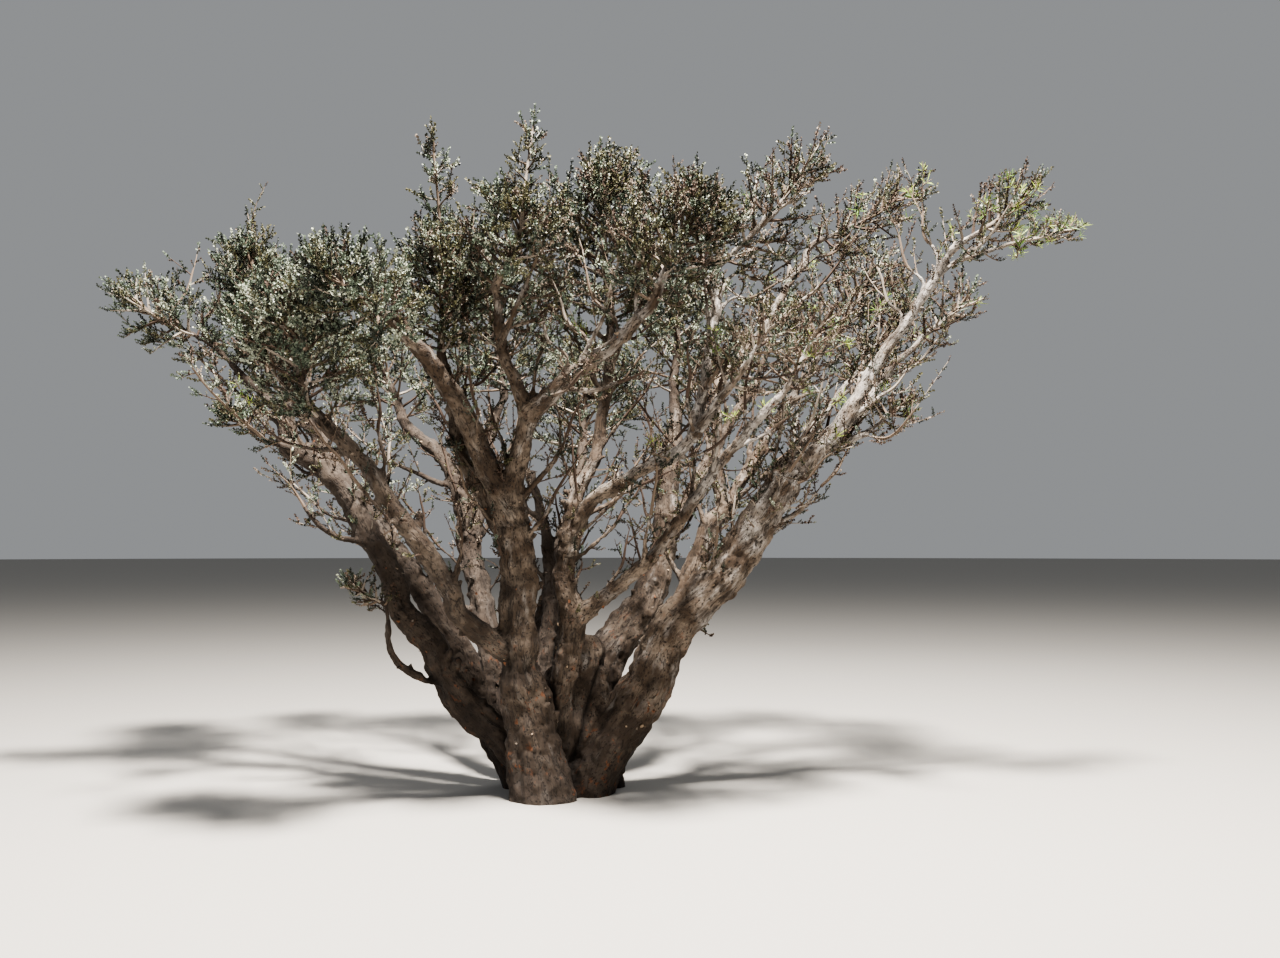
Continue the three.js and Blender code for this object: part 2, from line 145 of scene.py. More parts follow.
LIMBS = {
    "front_stem": Limb(
        "middle", (237, 255), (178, 92),
        ((202, 10, 640), (231, 15, 400), (277, 12, 590), (241, 13, 300)),
    ),
    "centre_stem": Limb(
        "middle", (243, 112), (108, 62),
        ((225, 3, 590), (325, 13, 600), (200, 12, 310), (300, 14, 330)),
    ),
    "left_outer_stem": Limb(
        "left", (201, 139), (115, 66),
        (
            (182, 33, 520), (178, 47, 460), (173, 26, 360), (171, 46, 280), (164, 18, 240),
            (170, 30, 670), (177, 55, 520),
        ),
    ),
    "left_inner_stem": Limb(
        "left", (150, 300), (112, 46),
        ((172, 29, 760), (162, 24, 410), (168, 35, 810), (160, 44, 330), (160, 36, 1000)),
    ),
    "inner_stem": Limb(
        "middle", (124, 216), (88, 28),
        ((113, 16, 620), (88, 15, 410), (75, 15, 390), (115, 19, 450), (119, 24, 480)),
    ),
    "back_left_stem": Limb(
        "left", (135, 350), (112, 50),
        ((140, 27, 700), (132, 22, 430), (119, 27, 580), (131, 27, 810), (149, 50, 400)),
    ),
    "back_stem": Limb(
        "back", (102, 277), (128, 50), ((114, 23, 950), (80, 32, 580), (80, 41, 770), (79, 31, 400))
    ),
    "back_right_stem": Limb(
        "back", (57, 240), (165, 48),
        ((70, 10, 620), (37, 19, 370), (21, 40, 350), (48, 30, 290), (63, 20, 430), (78, 27, 900)),
    ),
    "right_stem": Limb(
        "right", (315, 30), (172, 112),
        ((0, 31, 480), (0, 35, 400), (0, 23, 390), (355, 43, 560), (349, 34, 730)),
    ),
    "front_left_bough": Limb(
        "middle", ("front_stem", 0.99), (80, 46), ((219, 30, 440), (232, 36, 350), (227, 46, 500))
    ),
    "front_left_riser": Limb(
        "middle", ("front_stem", 0.84), (62, 34), ((187, 28, 545), (202, 26, 310), (240, 18, 420))
    ),
    "front_mid_limb": Limb(
        "middle", ("front_stem", 0.97), (70, 58), ((278, 22, 330), (306, 26, 400))
    ),
    "front_right_bough": Limb(
        "middle", ("front_mid_limb", 0.97), (54, 36), ((335, 58, 260), (336, 50, 620))
    ),
    "front_top_bough": Limb(
        "middle", ("front_mid_limb", 0.94), (44, 30), ((210, 22, 420), (250, 14, 300))
    ),
    "left_bough": Limb(
        "middle", ("front_stem", 0.5), (82, 44),
        ((213, 52, 500), (220, 29, 220), (213, 37, 800), (207, 42, 460)),
    ),
    "left_tip_bough": Limb(
        "left", ("left_outer_stem", 0.99), (42, 22), ((180, 18, 300), (187, 46, 380))
    ),
    "left_rise_bough": Limb(
        "left", ("left_outer_stem", 0.96), (44, 24), ((154, 21, 260), (137, 11, 300))
    ),
    "left_spur": Limb(
        "left", ("left_outer_stem", 0.95), (28, 17), ((232, 74, 210), (217, 66, 120))
    ),
    "low_spur": Limb("left", ("left_outer_stem", 0.29), (36, 18), ((195, 57, 520), (205, 12, 290))),
    "centre_riser": Limb(
        "middle", ("centre_stem", 0.97), (54, 34), ((50, 16, 300), (25, 27, 330), (60, 10, 700))
    ),
    "centre_right_bough": Limb(
        "middle", ("centre_stem", 0.92), (52, 32), ((322, 38, 420), (330, 64, 660), (322, 47, 400))
    ),
    "right_top_bough": Limb(
        "middle", ("centre_right_bough", 0.82), (38, 26), ((20, 12, 380), (60, 10, 500))
    ),
    "brown_bough": Limb(
        "middle", ("centre_stem", 0.66), (50, 28), ((334, 52, 690), (341, 37, 620), (341, 44, 640))
    ),
    "right_main_bough": Limb(
        "right", ("right_stem", 0.985), (66, 24), ((353, 43, 480), (341, 33, 640), (338, 35, 620))
    ),
    "right_tip_bough": Limb(
        "right", ("right_main_bough", 0.93), (24, 13), ((15, 56, 240), (11, 68, 260))
    ),
    "right_low_bough": Limb(
        "right", ("right_stem", 0.97), (50, 22), ((9, 47, 620), (7, 37, 430), (11, 42, 250))
    ),
    "right_spur": Limb(
        "right", ("right_low_bough", 0.3), (32, 18), ((335, 68, 240), (338, 55, 110))
    ),
    "right_inner_bough": Limb(
        "right", ("right_stem", 0.93), (48, 26), ((33, 30, 400), (29, 42, 500))
    ),
    "right_fork_limb": Limb(
        "right", ("right_stem", 0.55), (82, 64), ((48, 25, 620), (28, 46, 240))
    ),
    "fork_left_bough": Limb(
        "right", ("right_fork_limb", 0.98), (46, 24),
        ((165, 10, 350), (20, 2, 530), (0, 38, 500), (0, 29, 500)),
    ),
    "fork_right_bough": Limb(
        "right", ("right_fork_limb", 0.96), (46, 26), ((37, 36, 340), (35, 37, 870), (24, 38, 240))
    ),
    "back_right_bough": Limb(
        "back", ("back_right_stem", 0.62), (56, 34), ((40, 36, 700), (44, 40, 700))
    ),
    "back_left_riser": Limb(
        "left", ("back_left_stem", 0.6), (56, 34), ((80, 14, 600), (60, 20, 600))
    ),
}

MASSES = {
    "left_tip_leaves": Mass("left_tip_bough", (188, 57, 950), 540, Region.LEFT, Dress.LEAFY),
    "left_rise_leaves": Mass("left_rise_bough", (196, 17, 1000), 800, Region.LEFT, Dress.FULL),
    "left_spur_leaves": Mass("left_spur", (218, 61, 330), 300, Region.LEFT, Dress.LEAFY),
    "left_mid_leaves": Mass("left_bough", (250, 30, 900), 820, Region.LEFT, Dress.FULL),
    "left_inner_leaves": Mass("left_inner_stem", (138, 28, 1180), 950, Region.FAR_LEFT, Dress.FULL),
    "front_left_leaves": Mass("front_left_bough", (240, 70, 880), 680, Region.FRONT, Dress.FULL),
    "riser_leaves": Mass(
        "front_left_riser",
        (275, 11, 940),
        720,
        Region.FRONT,
        Dress.DENSE,
        leader=(200, 6, 780, 250),
    ),
    "front_top_leaves": Mass(
        "front_top_bough", (300, 33, 720), 780, Region.FRONT, Dress.DENSE, leader=(60, 12, 640, 230)
    ),
    "centre_top_leaves": Mass("centre_riser", (258, 13, 1275), 920, Region.MIDDLE, Dress.DENSE),
    "front_right_leaves": Mass(
        "front_right_bough", (321, 39, 900), 820, Region.MIDDLE, Dress.DENSE
    ),
    "centre_right_leaves": Mass(
        "centre_right_bough", (327, 40, 700), 560, Region.MIDDLE, Dress.OPEN
    ),
    "right_top_leaves": Mass("right_top_bough", (356, 36, 1190), 560, Region.MIDDLE, Dress.OPEN),
    "brown_leaves": Mass("brown_bough", (345, 34, 700), 540, Region.RIGHT, Dress.SPRIGGY),
    "fork_left_leaves": Mass("fork_left_bough", (350, 57, 1030), 520, Region.RIGHT, Dress.OPEN),
    "fork_right_leaves": Mass(
        "fork_right_bough", (30, 37, 1010), 880, Region.FAR_RIGHT, Dress.OPEN
    ),
    "right_inner_leaves": Mass(
        "right_inner_bough", (24, 41, 900), 560, Region.RIGHT, Dress.SPRIGGY
    ),
    "right_main_leaves": Mass("right_main_bough", (347, 50, 800), 440, Region.RIGHT, Dress.FRESH),
    "right_tip_leaves": Mass("right_tip_bough", (10, 77, 600), 300, Region.RIGHT, Dress.FRESH),
    "right_low_leaves": Mass("right_low_bough", (14, 47, 680), 480, Region.RIGHT, Dress.SPRIGGY),
    "right_spur_leaves": Mass("right_spur", (334, 51, 310), 300, Region.RIGHT, Dress.SPRIGGY),
    "low_spur_leaves": Mass("low_spur", (195, 47, 360), 240, Region.LEFT, Dress.OPEN),
    "back_right_leaves": Mass("back_right_stem", (80, 16, 1200), 1080, Region.BACK, Dress.LEAFY),
    "back_fork_leaves": Mass(
        "back_right_bough", (46, 34, 1080), 1020, Region.FAR_RIGHT, Dress.OPEN
    ),
    "back_leaves": Mass("back_stem", (88, 34, 1280), 1180, Region.BACK, Dress.LEAFY),
    "back_left_leaves": Mass("back_left_stem", (138, 38, 1150), 1060, Region.FAR_LEFT, Dress.LEAFY),
    "back_riser_leaves": Mass("back_left_riser", (120, 10, 1180), 1080, Region.BACK, Dress.LEAFY),
}


# Slim boughs that fill the crown between the masses: the limb or mass that each leaves, the share
# of its length where it does, and its bearing, lean and length in degrees and millimetres.
INFILL = (
    ("right_top_leaves", 0.5, 0, 4, 330),
    ("right_top_leaves", 0.25, 10, 66, 480),
    ("right_top_bough", 0.97, 20, 62, 520),
    ("right_top_bough", 0.8, 0, 58, 460),
    ("fork_left_bough", 0.9, 190, 25, 420),
    ("fork_left_bough", 0.93, 340, 58, 500),
    ("fork_left_leaves", 0.3, 350, 72, 450),
    ("fork_left_bough", 0.78, 185, 55, 420),
    ("right_main_bough", 0.8, 150, 14, 480),
    ("right_main_bough", 0.66, 165, 12, 500),
    ("right_main_bough", 0.9, 120, 10, 480),
    ("right_low_bough", 0.98, 80, 18, 420),
    ("right_inner_leaves", 0.8, 20, 22, 400),
    ("front_right_bough", 0.5, 205, 18, 480),
    ("front_top_bough", 0.9, 5, 68, 420),
    ("centre_riser", 0.85, 185, 42, 480),
    ("front_top_bough", 0.6, 0, 48, 430),
    ("centre_riser", 0.95, 200, 58, 430),
    ("front_mid_limb", 0.97, 30, 14, 500),
    ("front_right_bough", 0.3, 150, 15, 500),
    ("front_right_bough", 0.7, 180, 12, 500),
    ("centre_riser", 0.6, 150, 36, 450),
    ("centre_riser", 0.65, 330, 40, 450),
    ("centre_riser", 0.98, 270, 50, 420),
    ("centre_riser", 0.9, 20, 48, 420),
    ("front_left_riser", 0.8, 350, 45, 420),
    ("left_tip_leaves", 0.5, 20, 6, 430),
    ("left_tip_leaves", 0.2, 100, 8, 430),
    ("left_rise_leaves", 0.85, 180, 6, 380),
    ("left_bough", 0.98, 175, 28, 430),
    ("left_bough", 0.97, 215, 50, 420),
    ("left_bough", 0.95, 150, 58, 400),
    ("left_bough", 0.92, 190, 4, 380),
)


def heading(bearing: float, lean: float) -> Array:
    """Gives a direction.

    Args:
        bearing: degrees in plan.
        lean: degrees from upright.

    Returns:
        The unit vector.
    """
    plan, tilt = math.radians(bearing), math.radians(lean)
    return np.array(
        [math.sin(tilt) * math.cos(plan), math.sin(tilt) * math.sin(plan), math.cos(tilt)]
    )


def unit(vector: Array) -> Array:
    """Returns the vector at length 1."""
    return vector / max(1e-12, float(np.linalg.norm(vector)))


def unit_rows(rows: Array) -> Array:
    """Returns each row at length 1."""
    return rows / np.linalg.norm(rows, axis=1)[:, None]


def framed(centres: Array, ahead: Array, across: Array) -> Frames:
    """Squares up the directions along a line.

    Args:
        centres: rows of points on it.
        ahead: rows of directions along it.
        across: rows of directions, or one for all, that lie roughly across it.

    Returns:
        Rows of centres, and of the unit directions across, beside and ahead.
    """
    ahead = unit_rows(ahead)
    across = unit_rows(across - ahead * np.sum(across * ahead, axis=1)[:, None])
    return centres, across, np.cross(ahead, across), ahead


def turned(vector: Array, axis: Array, degrees: float) -> Array:
    """Turns a vector about an axis.

    Args:
        vector: what is turned.
        axis: the unit axis.
        degrees: how far, right-handed.

    Returns:
        The turned vector.
    """
    c, s = math.cos(math.radians(degrees)), math.sin(math.radians(degrees))
    return vector * c + np.cross(axis, vector) * s + axis * (axis @ vector) * (1 - c)


def turned_off(direction: Array, lean: float, turn: float) -> Array:
    """Gives the direction that leaves another one.

    Args:
        direction: the unit direction that is left.
        lean: by how many degrees.
        turn: on which side, in degrees round the direction.

    Returns:
        The unit vector.
    """
    side = np.cross(UP, direction)
    side = unit(side) if side @ side > NEARLY_NOTHING else np.array([1.0, 0.0, 0.0])
    return turned(direction, turned(side, direction, turn), lean)


def stray(dice: Dice, reach: float) -> Array:
    """Returns a small step in no set direction."""
    return np.array([dice.gauss(0, reach) for _ in range(3)])


def ripple(points: Array, seed: int) -> Array:
    """Gives smooth noise, one swell to each unit of length.

    Args:
        points: where, as rows of three numbers.
        seed: which noise.

    Returns:
        A number from -1 to 1 for each row.
    """
    cell = np.floor(points).astype(np.int64)
    part = points - cell
    fade = part * part * (3 - 2 * part)
    total = np.zeros(len(points))
    for corner in np.ndindex(2, 2, 2):
        code = np.bitwise_xor.reduce((cell + corner) * SCATTER, axis=1) ^ seed * SEED_SCATTER
        for shift, factor in MIXERS:
            code = (code ^ (code >> shift)) * factor & 0xFFFFFFFF
        value = ((code >> 8) & 0xFFFF) / 32767.5 - 1
        share = np.where(np.array(corner) == 1, fade, 1 - fade)
        total += value * share[:, 0] * share[:, 1] * share[:, 2]
    return total


def eased(value: Array, low: float, high: float) -> Array:
    """Gives a smooth step.

    Args:
        value: the numbers to ease.
        low: where the step begins.
        high: where it ends.

    Returns:
        Numbers from 0 to 1.
    """
    share = np.clip((value - low) / (high - low), 0, 1)
    return share * share * (3 - 2 * share)


class Course:
    """A smooth line through some points, with its radius at each length.

    It wanders by two fields of noise, from the height where it is still to that where it is loose.
    """

    SAMPLES = 24
    FIELDS = (31, 41)
    STILL = 0.05
    LOOSE = 0.5

    def __init__(self, points: list[Array], girth: Pair, swell: float, fade: float) -> None:
        """Lays the line.

        Args:
            points: what it passes through, in metres.
            girth: the radius at foot and tip.
            swell: the extra share of the foot's radius at the foot.
            fade: the length over which the swell fades, in metres.
        """
        self.girth, self.swell, self.fade = girth, swell, fade
        self.flat = 0.0
        rows = np.array(points)
        rows = np.vstack([2 * rows[0] - rows[1], rows, 2 * rows[-1] - rows[-2]])
        share = np.linspace(0, 1, self.SAMPLES, endpoint=False)[:, None]
        spans = []
        for a, b, c, d in zip(rows, rows[1:], rows[2:], rows[3:]):
            leave, arrive = (c - a) / 2, (d - b) / 2
            spans.append(
                b
                + leave * share
                + (3 * (c - b) - 2 * leave - arrive) * share**2
                + (2 * (b - c) + leave + arrive) * share**3
            )
        self._lay(np.vstack([*spans, rows[-2][None]]))

    def _lay(self, line: Array) -> None:
        """Measures a line of close points, and finds its directions.

        Args:
            line: rows of points.
        """
        self.line = line
        steps = np.linalg.norm(np.diff(self.line, axis=0), axis=1)
        self.marks = np.concatenate([[0], np.cumsum(steps)])
        self.length = float(self.marks[-1])
        self.ahead_line = unit_rows(np.gradient(self.line, self.marks, axis=0))
        across = unit(np.cross([0.0, 1.0, 0.0], self.ahead_line[0]))
        rows = []
        for direction in self.ahead_line:
            across = unit(across - direction * (across @ direction))
            rows.append(across)
        self.across_line = np.array(rows)

    def wandered(self, reach: Pair, swells: Pair) -> None:
        """Lets the line wander as limbs do, by a field that is the same for all lines.

        Args:
            reach: how far the long and short swells of the field carry it.
            swells: their lengths.
        """
        rows = self.line
        fade = eased(rows[:, 2], self.STILL, self.LOOSE)[:, None]
        for far, swell, seed in zip(reach, swells, self.FIELDS):
            push = np.column_stack([ripple(self.line / swell, seed + k) for k in range(3)])
            rows = rows + push * far * fade
        self._lay(rows)

    def _read(self, line: Array, along: Array) -> Array:
        """Reads a sampled line at some lengths, as rows."""
        return np.stack([np.interp(along, self.marks, line[:, k]) for k in range(3)], axis=-1)

    def at(self, along: float | Array) -> Array:
        """Returns the point, or the rows of points, at a length."""
        return self._read(self.line, along)

    def ahead(self, along: float) -> Array:
        """Returns the line's direction at a length."""
        return unit(self._read(self.ahead_line, along))

    def radius(self, along: float | Array) -> float | Array:
        """Returns the radius at a length."""
        foot, tip = self.girth
        share = np.clip(np.asarray(along) / self.length, 0, 1)
        past = np.maximum(0, np.asarray(along) - self.flat)
        return foot + (tip - foot) * share + foot * self.swell * np.exp(-past / self.fade)

    def share_over(self, radius: float) -> float:
        """Returns the share of the line that is thicker than a radius."""
        foot, tip = self.girth
        return max(0.0, min(1.0, (foot - radius) / (foot - tip)))

    def frames(self, along: Array) -> Frames:
        """Returns frames at some lengths, which follow the line without twisting."""
        ahead, across = self._read(self.ahead_line, along), self._read(self.across_line, along)
        return framed(self.at(along), ahead, across)


@dataclass
class Space:
    """An ellipsoid of revolution that a mass fills, from its foot along an axis."""

    foot: Array
    axis: Array
    reach: float
    spread: float

    @property
    def middle(self) -> Array:
        """Returns the ellipsoid's middle."""
        return self.foot + self.axis * (self.reach / 2)

    def scaled(self, vector: Array) -> Array:
        """Returns a vector in the measure in which the ellipsoid is a unit sphere."""
        along = vector @ self.axis
        across = vector - self.axis * along
        return across / (self.spread / 2) + self.axis * (along / (self.reach / 2))

    def depth(self, point: Array) -> float:
        """Returns 0 at the middle and 1 at the skin."""
        return float(np.linalg.norm(self.scaled(point - self.middle)))

    def exit(self, point: Array, direction: Array) -> float:
        """Gives how far the skin is.

        Args:
            point: from where.
            direction: the unit direction.

        Returns:
            The distance in metres.
        """
        p, d = self.scaled(point - self.middle), self.scaled(direction)
        a, b, c = d @ d, p @ d, p @ p - 1
        return float((-b + math.sqrt(max(0.0, b * b - a * c))) / a)


@dataclass
class Arc:
    """A bent stretch of twig: it leaves root ahead, and is pulled round as it goes."""

    root: Array
    heading: Array
    pull: Array
    length: float
    girth: Pair

    def at(self, along: float | Array) -> Array:
        """Returns the point, or rows of points, at a length."""
        share = np.asarray(along, float)[..., None] / self.length
        return self.root + self.length * (self.heading * share + self.pull * share**2)

    def ahead(self, along: float) -> Array:
        """Returns the direction at a length."""
        return unit(self.heading + self.pull * (2 * along / self.length))

    def radius(self, along: float | Array) -> float | Array:
        """Returns the radius at a length."""
        return self.girth[0] + (self.girth[1] - self.girth[0]) * np.asarray(along) / self.length

    def frames(self, along: Array) -> Frames:
        """Returns frames at some lengths."""
        ahead = self.heading + self.pull * (2 * along / self.length)[:, None]
        return framed(self.at(along), ahead, turned_off(self.heading, 90, 0))


@dataclass
class Offshoot:
    """A slim bough that leaves a limb inside the crown."""

    side: str
    course: Course


@dataclass
class Skeleton:
    """Every limb's line and every mass's space, worked out by the rule of the part's source.

    Offshoots and infill are the slim boughs inside the crown. An offshoot may turn aside until it
    neither sags more than it may nor lies outside the masses' spaces.
    """

    buried: float = 0.09
    flare: float = 0.36
    flare_fade: float = 0.19
    collar: float = 0.35
    collar_fade: float = 1.6
    stalk_bends: Pair = (0.14, 0.45)
    stalk_reach: float = 0.76
    stalk_tip: float = 0.012
    room: float = 0.014
    between: float = 0.03
    mark_step: float = 0.06
    wander: Pair = (0.024, 0.011)
    swells: Pair = (0.4, 0.15)
    crown_foot: float = 1.15
    bare_top: float = 2.35
    underside: float = 2.7
    inside: float = 0.85
    sag: float = 0.05
    offshoot_step: float = 0.2
    right_steps: float = 0.7
    other_steps: float = 1.15
    offshoot_start: Pair = (0.2, 1)
    offshoot_gap: Pair = (0.6, 1.4)
    offshoot_end: float = 0.97
    offshoot_turns: tuple[float, ...] = (0, 75, -75, 150)
    offshoot_lean: Pair = (20, 50)
    offshoot_rise: Pair = (0.1, 0.7)
    offshoot_length: Pair = (0.4, 0.95)
    offshoot_girth: Pair = (0.013, 0.027)
    offshoot_share: float = 0.6
    offshoot_tip: float = 0.006
    offshoot_collar: float = 0.5
    offshoot_wander: Pair = (0.04, 0.02)
    infill_bends: Pair = (0.2, 0.6)
    infill_girth: float = 0.018
    infill_share: float = 0.75
    seed: int = 3
    courses: dict[str, Course] = field(default_factory=dict)
    stalks: dict[str, Course] = field(default_factory=dict)
    spaces: dict[str, list[Space]] = field(default_factory=dict)
    offshoots: list[Offshoot] = field(default_factory=list)

    def build(self) -> None:
        """Lays every course, stalk and space."""
        for name, limb in LIMBS.items():
            source, far = limb.springs
            if isinstance(source, str):
                parent = self.courses[source]
                fade = limb.girth[0] * MM * self.collar_fade
                start = parent.at(parent.length * far)
                self.courses[name] = self._course(start, limb, self.collar, fade)
            else:
                start = heading(source, 90) * far * MM - UP * self.buried
                self.courses[name] = self._course(start, limb, self.flare, self.flare_fade)
                self.courses[name].flat = self.buried
        for name, mass in MASSES.items():
            self._add_mass(name, mass)
        rows = []
        for course in self.courses.values():
            along = np.linspace(0, course.length, math.ceil(course.length / self.mark_step) + 1)
            rows.append(np.column_stack([course.at(along), course.radius(along)]))
        self.limb_marks = np.vstack(rows)
        owned = [(k, space) for k, name in enumerate(MASSES) for space in self.spaces[name]]
        self.owner = np.array([k for k, _ in owned])
        self.middles = np.array([space.middle for _, space in owned])
        self.axes = np.array([space.axis for _, space in owned])
        self.halves = np.array([(space.spread / 2, space.reach / 2) for _, space in owned])
        self._add_offshoots()
        self._add_infill()
        for course in (*self.courses.values(), *self.stalks.values()):
            course.wandered(self.wander, self.swells)
        for offshoot in self.offshoots:
            offshoot.course.wandered(self.offshoot_wander, self.swells)

    def bare(self, name: str, point: Array) -> bool:
        """Tells whether a point is on the bare lower part of the long bough at the right."""
        return bool(name == "right_main_bough" and point[2] < self.bare_top)

    def _add_offshoots(self) -> None:
        """Lays the slim boughs that leave the limbs inside the crown."""
        dice = Dice(self.seed)
        for name, limb in LIMBS.items():
            course = self.courses[name]
            steps = self.right_steps if limb.side == "right" else self.other_steps
            step = self.offshoot_step * steps
            along = step * dice.uniform(*self.offshoot_start)
            turn = dice.uniform(0, 360)
            while along < course.length * self.offshoot_end:
                self._try_offshoot(name, along, turn, dice)
                along += step * dice.uniform(*self.offshoot_gap)
                turn += GOLDEN_TURN

    def _try_offshoot(self, name: str, along: float, turn: float, dice: Dice) -> None:
        """Lays one slim bough, if some turn of it stays inside the crown.

        Args:
            name: the limb that it springs from.
            along: where on it.
            turn: on which side.
            dice: the seeded dice.
        """
        parent = self.courses[name]
        foot = parent.at(along)
        if foot[2] < self.crown_foot or self.bare(name, foot):
            return
        length = dice.uniform(*self.offshoot_length)
        lean = dice.uniform(*self.offshoot_lean)
        slope = unit(foot) @ UP
        for shift in self.offshoot_turns:
            ahead = turned_off(parent.ahead(along), lean, turn + shift)
            bend = unit(ahead + UP * dice.uniform(*self.offshoot_rise))
            points = [foot, foot + ahead * length * 0.5, foot + (ahead + bend) * length * 0.5]
            tip = points[-1]
            if unit(tip) @ UP < slope - self.sag:
                continue
            if tip[2] > self.underside and self.depths(tip).min() > self.inside:
                continue
            thickest = float(parent.radius(along)) * self.offshoot_share
            girth = min(thickest, dice.uniform(*self.offshoot_girth))
            self._add_slim(LIMBS[name].side, points, girth)
            return

    def _add_infill(self) -> None:
        """Lays the slim boughs that fill the crown between the masses."""
        near, farther = self.infill_bends
        for name, share, bearing, lean, length in INFILL:
            parent = self.courses.get(name) or self.stalks[name]
            along = parent.length * share
            foot = parent.at(along)
            far = heading(bearing, lean) * length * MM
            start = parent.ahead(along) * length * MM * near
            points = [foot, foot + start + far * near, foot + far * farther, foot + far]
            girth = min(float(parent.radius(along)) * self.infill_share, self.infill_girth)
            limb = LIMBS.get(name) or LIMBS[MASSES[name].on]
            self._add_slim(limb.side, points, girth)

    def _add_slim(self, side: str, points: list[Array], girth: float) -> None:
        """Lays a slim bough.

        Args:
            side: its side of the tree.
            points: what it passes through.
            girth: its foot's radius.
        """
        ends = (girth, self.offshoot_tip)
        course = Course(points, ends, self.offshoot_collar, girth * self.collar_fade)
        self.offshoots.append(Offshoot(side, course))

    @staticmethod
    def _course(start: Array, limb: Limb, swell: float, fade: float) -> Course:
        """Lays one limb's course.

        Args:
            start: its first point.
            limb: its sizes.
            swell: the extra share of girth at its foot.
            fade: the length over which that fades.

        Returns:
            The course.
        """
        points = [start]
        for bearing, lean, length in limb.legs:
            points.append(points[-1] + heading(bearing, lean) * length * MM)
        return Course(points, (limb.girth[0] * MM, limb.girth[1] * MM), swell, fade)

    def _add_mass(self, name: str, mass: Mass) -> None:
        """Lays a mass's spaces and the stalk that grows on from its bough.

        Args:
            name: the mass's name.
            mass: its sizes.
        """
        bough = self.courses[mass.on]
        tip, ahead = bough.at(bough.length), bough.ahead(bough.length)
        bearing, lean, reach = mass.grows
        reach *= MM
        space = Space(tip, heading(bearing, lean), reach, mass.spread * MM)
        self.spaces[name] = [space]
        near, farther = self.stalk_bends
        end = tip + space.axis * reach * self.stalk_reach
        points = [tip, tip + ahead * reach * near, tip + space.axis * reach * farther, end]
        girth = (float(bough.radius(bough.length)), self.stalk_tip)
        self.stalks[name] = Course(points, girth, 0, 1)
        if mass.leader:
            bearing, lean, rise, width = mass.leader
            self.spaces[name].append(Space(end, heading(bearing, lean), rise * MM, width * MM))

    def depths(self, point: Array) -> Array:
        """Returns the point's depth in every space."""
        apart = point - self.middles
        along = np.sum(apart * self.axes, axis=1)
        across = np.linalg.norm(apart - self.axes * along[:, None], axis=1)
        return np.hypot(across / self.halves[:, 0], along / self.halves[:, 1])

    def owns(self, index: int, point: Array) -> bool:
        """Tells whether a point lies in a mass's own space, nearer its middle than any other's.

        Args:
            index: the mass's place in the table.
            point: the point.

        Returns:
            True if it does.
        """
        depths = self.depths(point)
        own = depths[self.owner == index].min()
        return bool(own <= 1 and depths[self.owner != index].min() > own + self.between)

    def clear_of_limbs(self, point: Array) -> bool:
        """Tells whether a point keeps its room to every limb."""
        apart = np.linalg.norm(self.limb_marks[:, :3] - point, axis=1)
        return bool((apart > self.limb_marks[:, 3] + self.room).all())


def linear(hex_colour: str) -> tuple[float, float, float, float]:
    """Turns an sRGB hex colour to linear.

    Args:
        hex_colour: such as #8a7763.

    Returns:
        Red, green, blue and alpha, linear.
    """
    parts = [int(hex_colour[k : k + 2], 16) / 255 for k in (1, 3, 5)]
    parts = [p / 12.92 if p <= 0.04045 else ((p + 0.055) / 1.055) ** 2.4 for p in parts]
    return (*parts, 1.0)


@dataclass(frozen=True)
class Swells:
    """A noise: how wide its swells are in millimetres, its detail and roughness, and the share that
    a limb's length is shortened to, which draws them out along it. At 0 they aren't drawn out."""

    size_mm: float
    detail: float
    rough: float
    drawn: float = 0.0


@dataclass(frozen=True)
class Coat:
    """A colour over those beneath it. It sets in where a figure passes low, is full at high, which
    may be the smaller, hides a share of what is beneath, and lifts or sinks the relief."""

    colour: str
    low: float
    high: float
    share: float = 1.0
    lift: float = 0.0
    ease: str = "SMOOTHSTEP"


